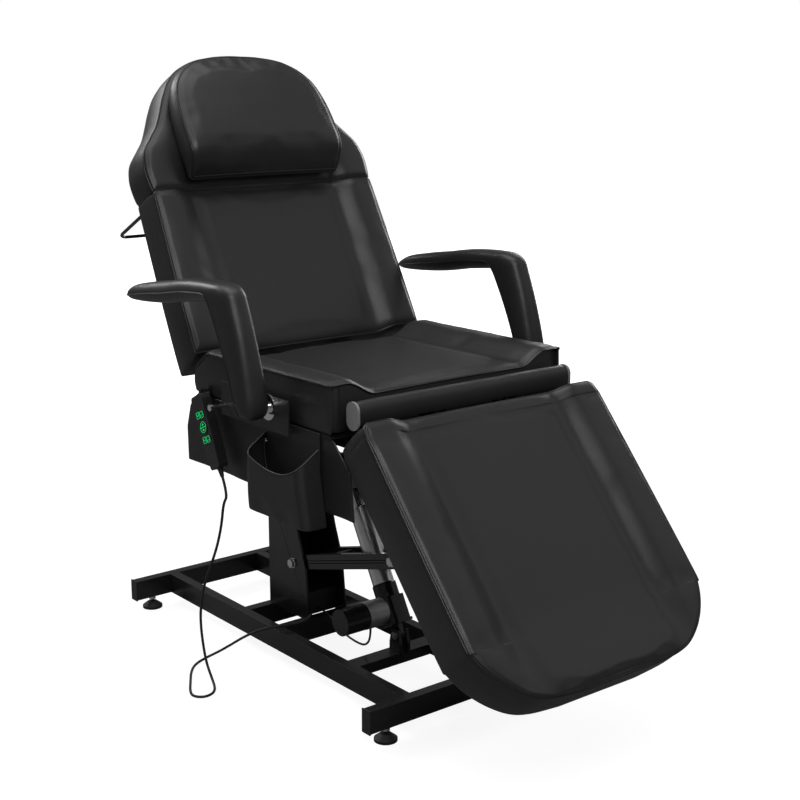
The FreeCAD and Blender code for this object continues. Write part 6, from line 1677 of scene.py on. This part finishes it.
@dataclass
class Hardware:
    """Finishes for the rigid pieces, and a small bevel on their pressed and welded steel.

    Attributes:
        looks: The CAD nodes of each finish.
        eased_edges: The nodes whose edges are eased.
        ease: Width of that bevel, in metres.
        ease_from: Angle between faces, in degrees, from which an edge is eased.
        weld: Distance within which a node's loose corners are welded first.
    """

    looks: Mapping[Look, tuple[str, ...]] = field(default_factory=lambda: {
        Look.ENAMEL: (
            "base_end_tubes", "base_side_tubes", "base_cross_tubes", "pedestal", "lift_arms_lower",
            "lift_arms_upper", "carriage", "seat_frame", "back_frame", "leg_frame", "lift_bracket",
            "handset_hook", "towel_rail",
        ),
        Look.PLASTIC: ("tube_end_caps", "control_box", "back_actuator", "leg_actuator", "arm_plates"),
        Look.GLOSSY: ("lift_motor", "lift_gearbox"),
        Look.SATIN: (
            "handset_front_shell", "handset_rear", "button_back_up", "button_back_down",
            "button_lift_up", "button_lift_down", "button_leg_up", "button_leg_down",
        ),
        Look.RUBBER: ("foot_front_left", "foot_front_right", "foot_rear_left", "foot_rear_right"),
        Look.ZINC: ("foot_nuts", "base_pivot_bolts", "carriage_bolts"),
        Look.TUBE: ("lift_outer_tube",),
        Look.CHROME: ("arm_hubs", "arm_lock_pin_left", "arm_lock_pin_right"),
        Look.ROD: ("lift_rod", "back_actuator_rod", "leg_actuator_rod"),
        Look.BAND: ("lift_motor_band",),
        Look.PLATE: ("roll_end_plates",),
        Look.LINING: ("seat_board", "back_board", "leg_board"),
    })
    eased_edges: Sequence[str] = (
        "base_end_tubes", "base_side_tubes", "base_cross_tubes", "pedestal", "lift_arms_lower",
        "lift_arms_upper", "carriage", "tube_end_caps", "control_box", "lift_bracket",
        "roll_end_plates",
    )
    ease: float = 0.0008
    ease_from: float = 40.0
    weld: float = 0.00002

    def make(self) -> None:
        """Coats every rigid node and eases the sharp edges of the larger ones."""
        for look, nodes in self.looks.items():
            for node in nodes:
                PAINT.coat(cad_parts[node], look)
            LOG.info("%s: %s", look.value.name, ", ".join(nodes))
        for node in self.eased_edges:
            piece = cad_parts[node]
            weld = piece.modifiers.new("weld", "WELD")
            weld.merge_threshold = self.weld
            bevel = piece.modifiers.new("ease", "BEVEL")
            bevel.width, bevel.segments = self.ease, 2
            bevel.limit_method, bevel.angle_limit = "ANGLE", math.radians(self.ease_from)
            bevel.harden_normals = False


# Studio


@dataclass(frozen=True)
class Lamp:
    """A soft box that faces the chair's middle: its place and size in metres, its power in watts."""

    name: str
    place: Triple
    size: Pair
    power: float

    def make(self, aim: Sequence[float]) -> None:
        """Adds the lamp, unseen by the camera, with its light towards a point."""
        data = bpy.data.lights.new(self.name, "AREA")
        data.shape, data.size, data.size_y = "RECTANGLE", *self.size
        data.energy = self.power
        holder = bpy.data.objects.new(self.name, data)
        way = np.array(aim) - np.array(self.place)
        holder.matrix_world = Matrix.Translation(self.place) @ look_along(way)
        holder.visible_camera = False
        bpy.context.scene.collection.objects.link(holder)


@dataclass
class Studio:
    """A white floor, soft lamps and the camera.

    Attributes:
        eye: The camera's place.
        right: The camera's own X in the room.
        up: The camera's own Y.
        forward: The way that it looks.
        lens: Its focal length in millimetres, on a sensor 36 mm wide.
        room: Radius of the floor.
        paper: Brightness of the floor's paper under the chair, as the camera sees it.
        shade: Its brightness as the chair's own surfaces see it.
        glow: Strength of the white light that the floor turns into.
        glow_least: Share of that light near the chair.
        level: Strength of the room's light on the chair.
        middle: The point that the lamps face.
        lamps: The soft boxes.
    """

    eye: Triple = (-1.918, -2.457, 1.380)
    right: Triple = (0.7794, -0.6265, 0.0)
    up: Triple = (0.1428, 0.1777, 0.9737)
    forward: Triple = (0.610, 0.759, -0.228)
    lens: float = 65.48
    room: float = 9.0
    paper: Triple = (0.55, 0.55, 0.553)
    shade: Triple = (0.22, 0.22, 0.221)
    glow: float = 1.6
    glow_least: float = 0.56
    level: float = 0.13
    middle: Triple = (0.0, 0.0, 0.7)
    lamps: Sequence[Lamp] = (
        Lamp("key", (-1.35, -2.1, 2.9), (1.8, 1.5), 43.0),
        Lamp("right", (3.0, -2.2, 3.2), (3.6, 3.0), 14.0),
        Lamp("rim", (-1.3, 3.6, 3.2), (2.2, 1.2), 76.0),
        Lamp("edge", (3.5, 1.5, 1.7), (2.0, 2.0), 52.0),
        Lamp("top", (-0.2, 0.4, 4.2), (3.0, 3.0), 64.0),
    )

    def camera(self) -> None:
        """The camera at the photograph's place."""
        data = bpy.data.cameras.new("camera")
        data.lens, data.sensor_width = self.lens, 36.0
        data.clip_start, data.clip_end = 0.05, 60.0
        holder = bpy.data.objects.new("camera", data)
        axes = Matrix([self.right, self.up, tuple(-part for part in self.forward)]).transposed()
        holder.matrix_world = Matrix.Translation(self.eye) @ axes.to_4x4()
        bpy.context.scene.collection.objects.link(holder)
        bpy.context.scene.camera = holder

    def white(self) -> bpy.types.Material:
        """The floor's finish.

        The camera sees white paper mixed with white light, whose share grows with the
        distance from the chair; every other ray meets a darker paper.
        """
        graph = Graph("white_floor")
        spot = graph.node("ShaderNodeSeparateXYZ", None, {0: graph.place()})
        x, y = graph.take(spot, "X"), graph.take(spot, "Y")
        far = ((x * x + y * y) ** 0.5 * 0.5 - 0.55).clamped()
        paper = graph.node("ShaderNodeBsdfDiffuse", None, {"Color": (*self.paper, 1.0)})
        light = graph.node("ShaderNodeEmission", None, {"Color": (1, 1, 1, 1), "Strength": self.glow})
        seen = graph.take(graph.node("ShaderNodeLightPath"), "Is Camera Ray")
        share = far.maths("MAXIMUM", far, self.glow_least)
        ends = {0: share, 1: graph.take(paper), 2: graph.take(light)}
        bright = graph.node("ShaderNodeMixShader", None, ends)
        shade = graph.node("ShaderNodeBsdfDiffuse", None, {"Color": (*self.shade, 1.0)})
        ends = {0: seen, 1: graph.take(shade), 2: graph.take(bright)}
        either = graph.node("ShaderNodeMixShader", None, ends)
        graph.tree.links.new(either.outputs[0], graph.output.inputs["Surface"])
        return graph.material

    def floor(self) -> None:
        """A round white floor, rings of a radius times the cosine and sine."""
        turn = np.linspace(0, 2 * math.pi, 64, endpoint=False)
        reach = np.array([0.02, 1.0, 2.0, 4.0, self.room])[:, None]
        rings = np.broadcast_arrays(reach * np.cos(turn), reach * np.sin(turn), 0.0)
        shape = Shape()
        numbers = shape.add(np.stack(rings, axis=-1) / MM)
        shape.join(numbers, closed=True)
        shape.fan(numbers[0], np.zeros(3))
        piece = shape.build("floor")
        piece.data.materials.append(self.white())

    def world(self) -> None:
        """White to the camera; a plain level for the light itself."""
        world = bpy.data.worlds.new("room")
        world.use_nodes = True
        tree = world.node_tree
        tree.nodes.clear()
        path = tree.nodes.new("ShaderNodeLightPath")
        seen = Signal(tree, path.outputs["Is Camera Ray"])
        level = seen.maths("MAXIMUM", seen, self.level)
        back = tree.nodes.new("ShaderNodeBackground")
        back.inputs["Color"].default_value = (1, 1, 1, 1)
        tree.links.new(level.socket, back.inputs["Strength"])
        out = tree.nodes.new("ShaderNodeOutputWorld")
        tree.links.new(back.outputs[0], out.inputs[0])
        bpy.context.scene.world = world

    def make(self) -> None:
        """Sets the studio up."""
        bpy.context.scene.view_settings.view_transform = "Standard"
        self.camera()
        self.floor()
        self.world()
        for lamp in self.lamps:
            lamp.make(self.middle)


def look_along(aim: Array) -> Matrix:
    """A turn whose -Z is the given direction and whose Y leans up."""
    forward = aim / np.linalg.norm(aim)
    right = np.cross(forward, [0.0, 0.0, 1.0])
    right /= np.linalg.norm(right)
    up = np.cross(right, forward)
    return Matrix([right.tolist(), up.tolist(), (-forward).tolist()]).transposed().to_4x4()


def main() -> None:
    """Builds the studio and every piece of the chair."""
    logging.basicConfig(level=logging.INFO, format="%(message)s")
    Studio().make()
    Cords().make()
    Hardware().make()
    Upholstery().make()
    Roll().make()
    for side, sign in (("left", 1.0), ("right", -1.0)):
        Armrest(side, sign).make()
    Skirts().make()
    Pocket().make()
    Snap().make()
    Symbols().make()


if __name__ == "__main__":
    main()
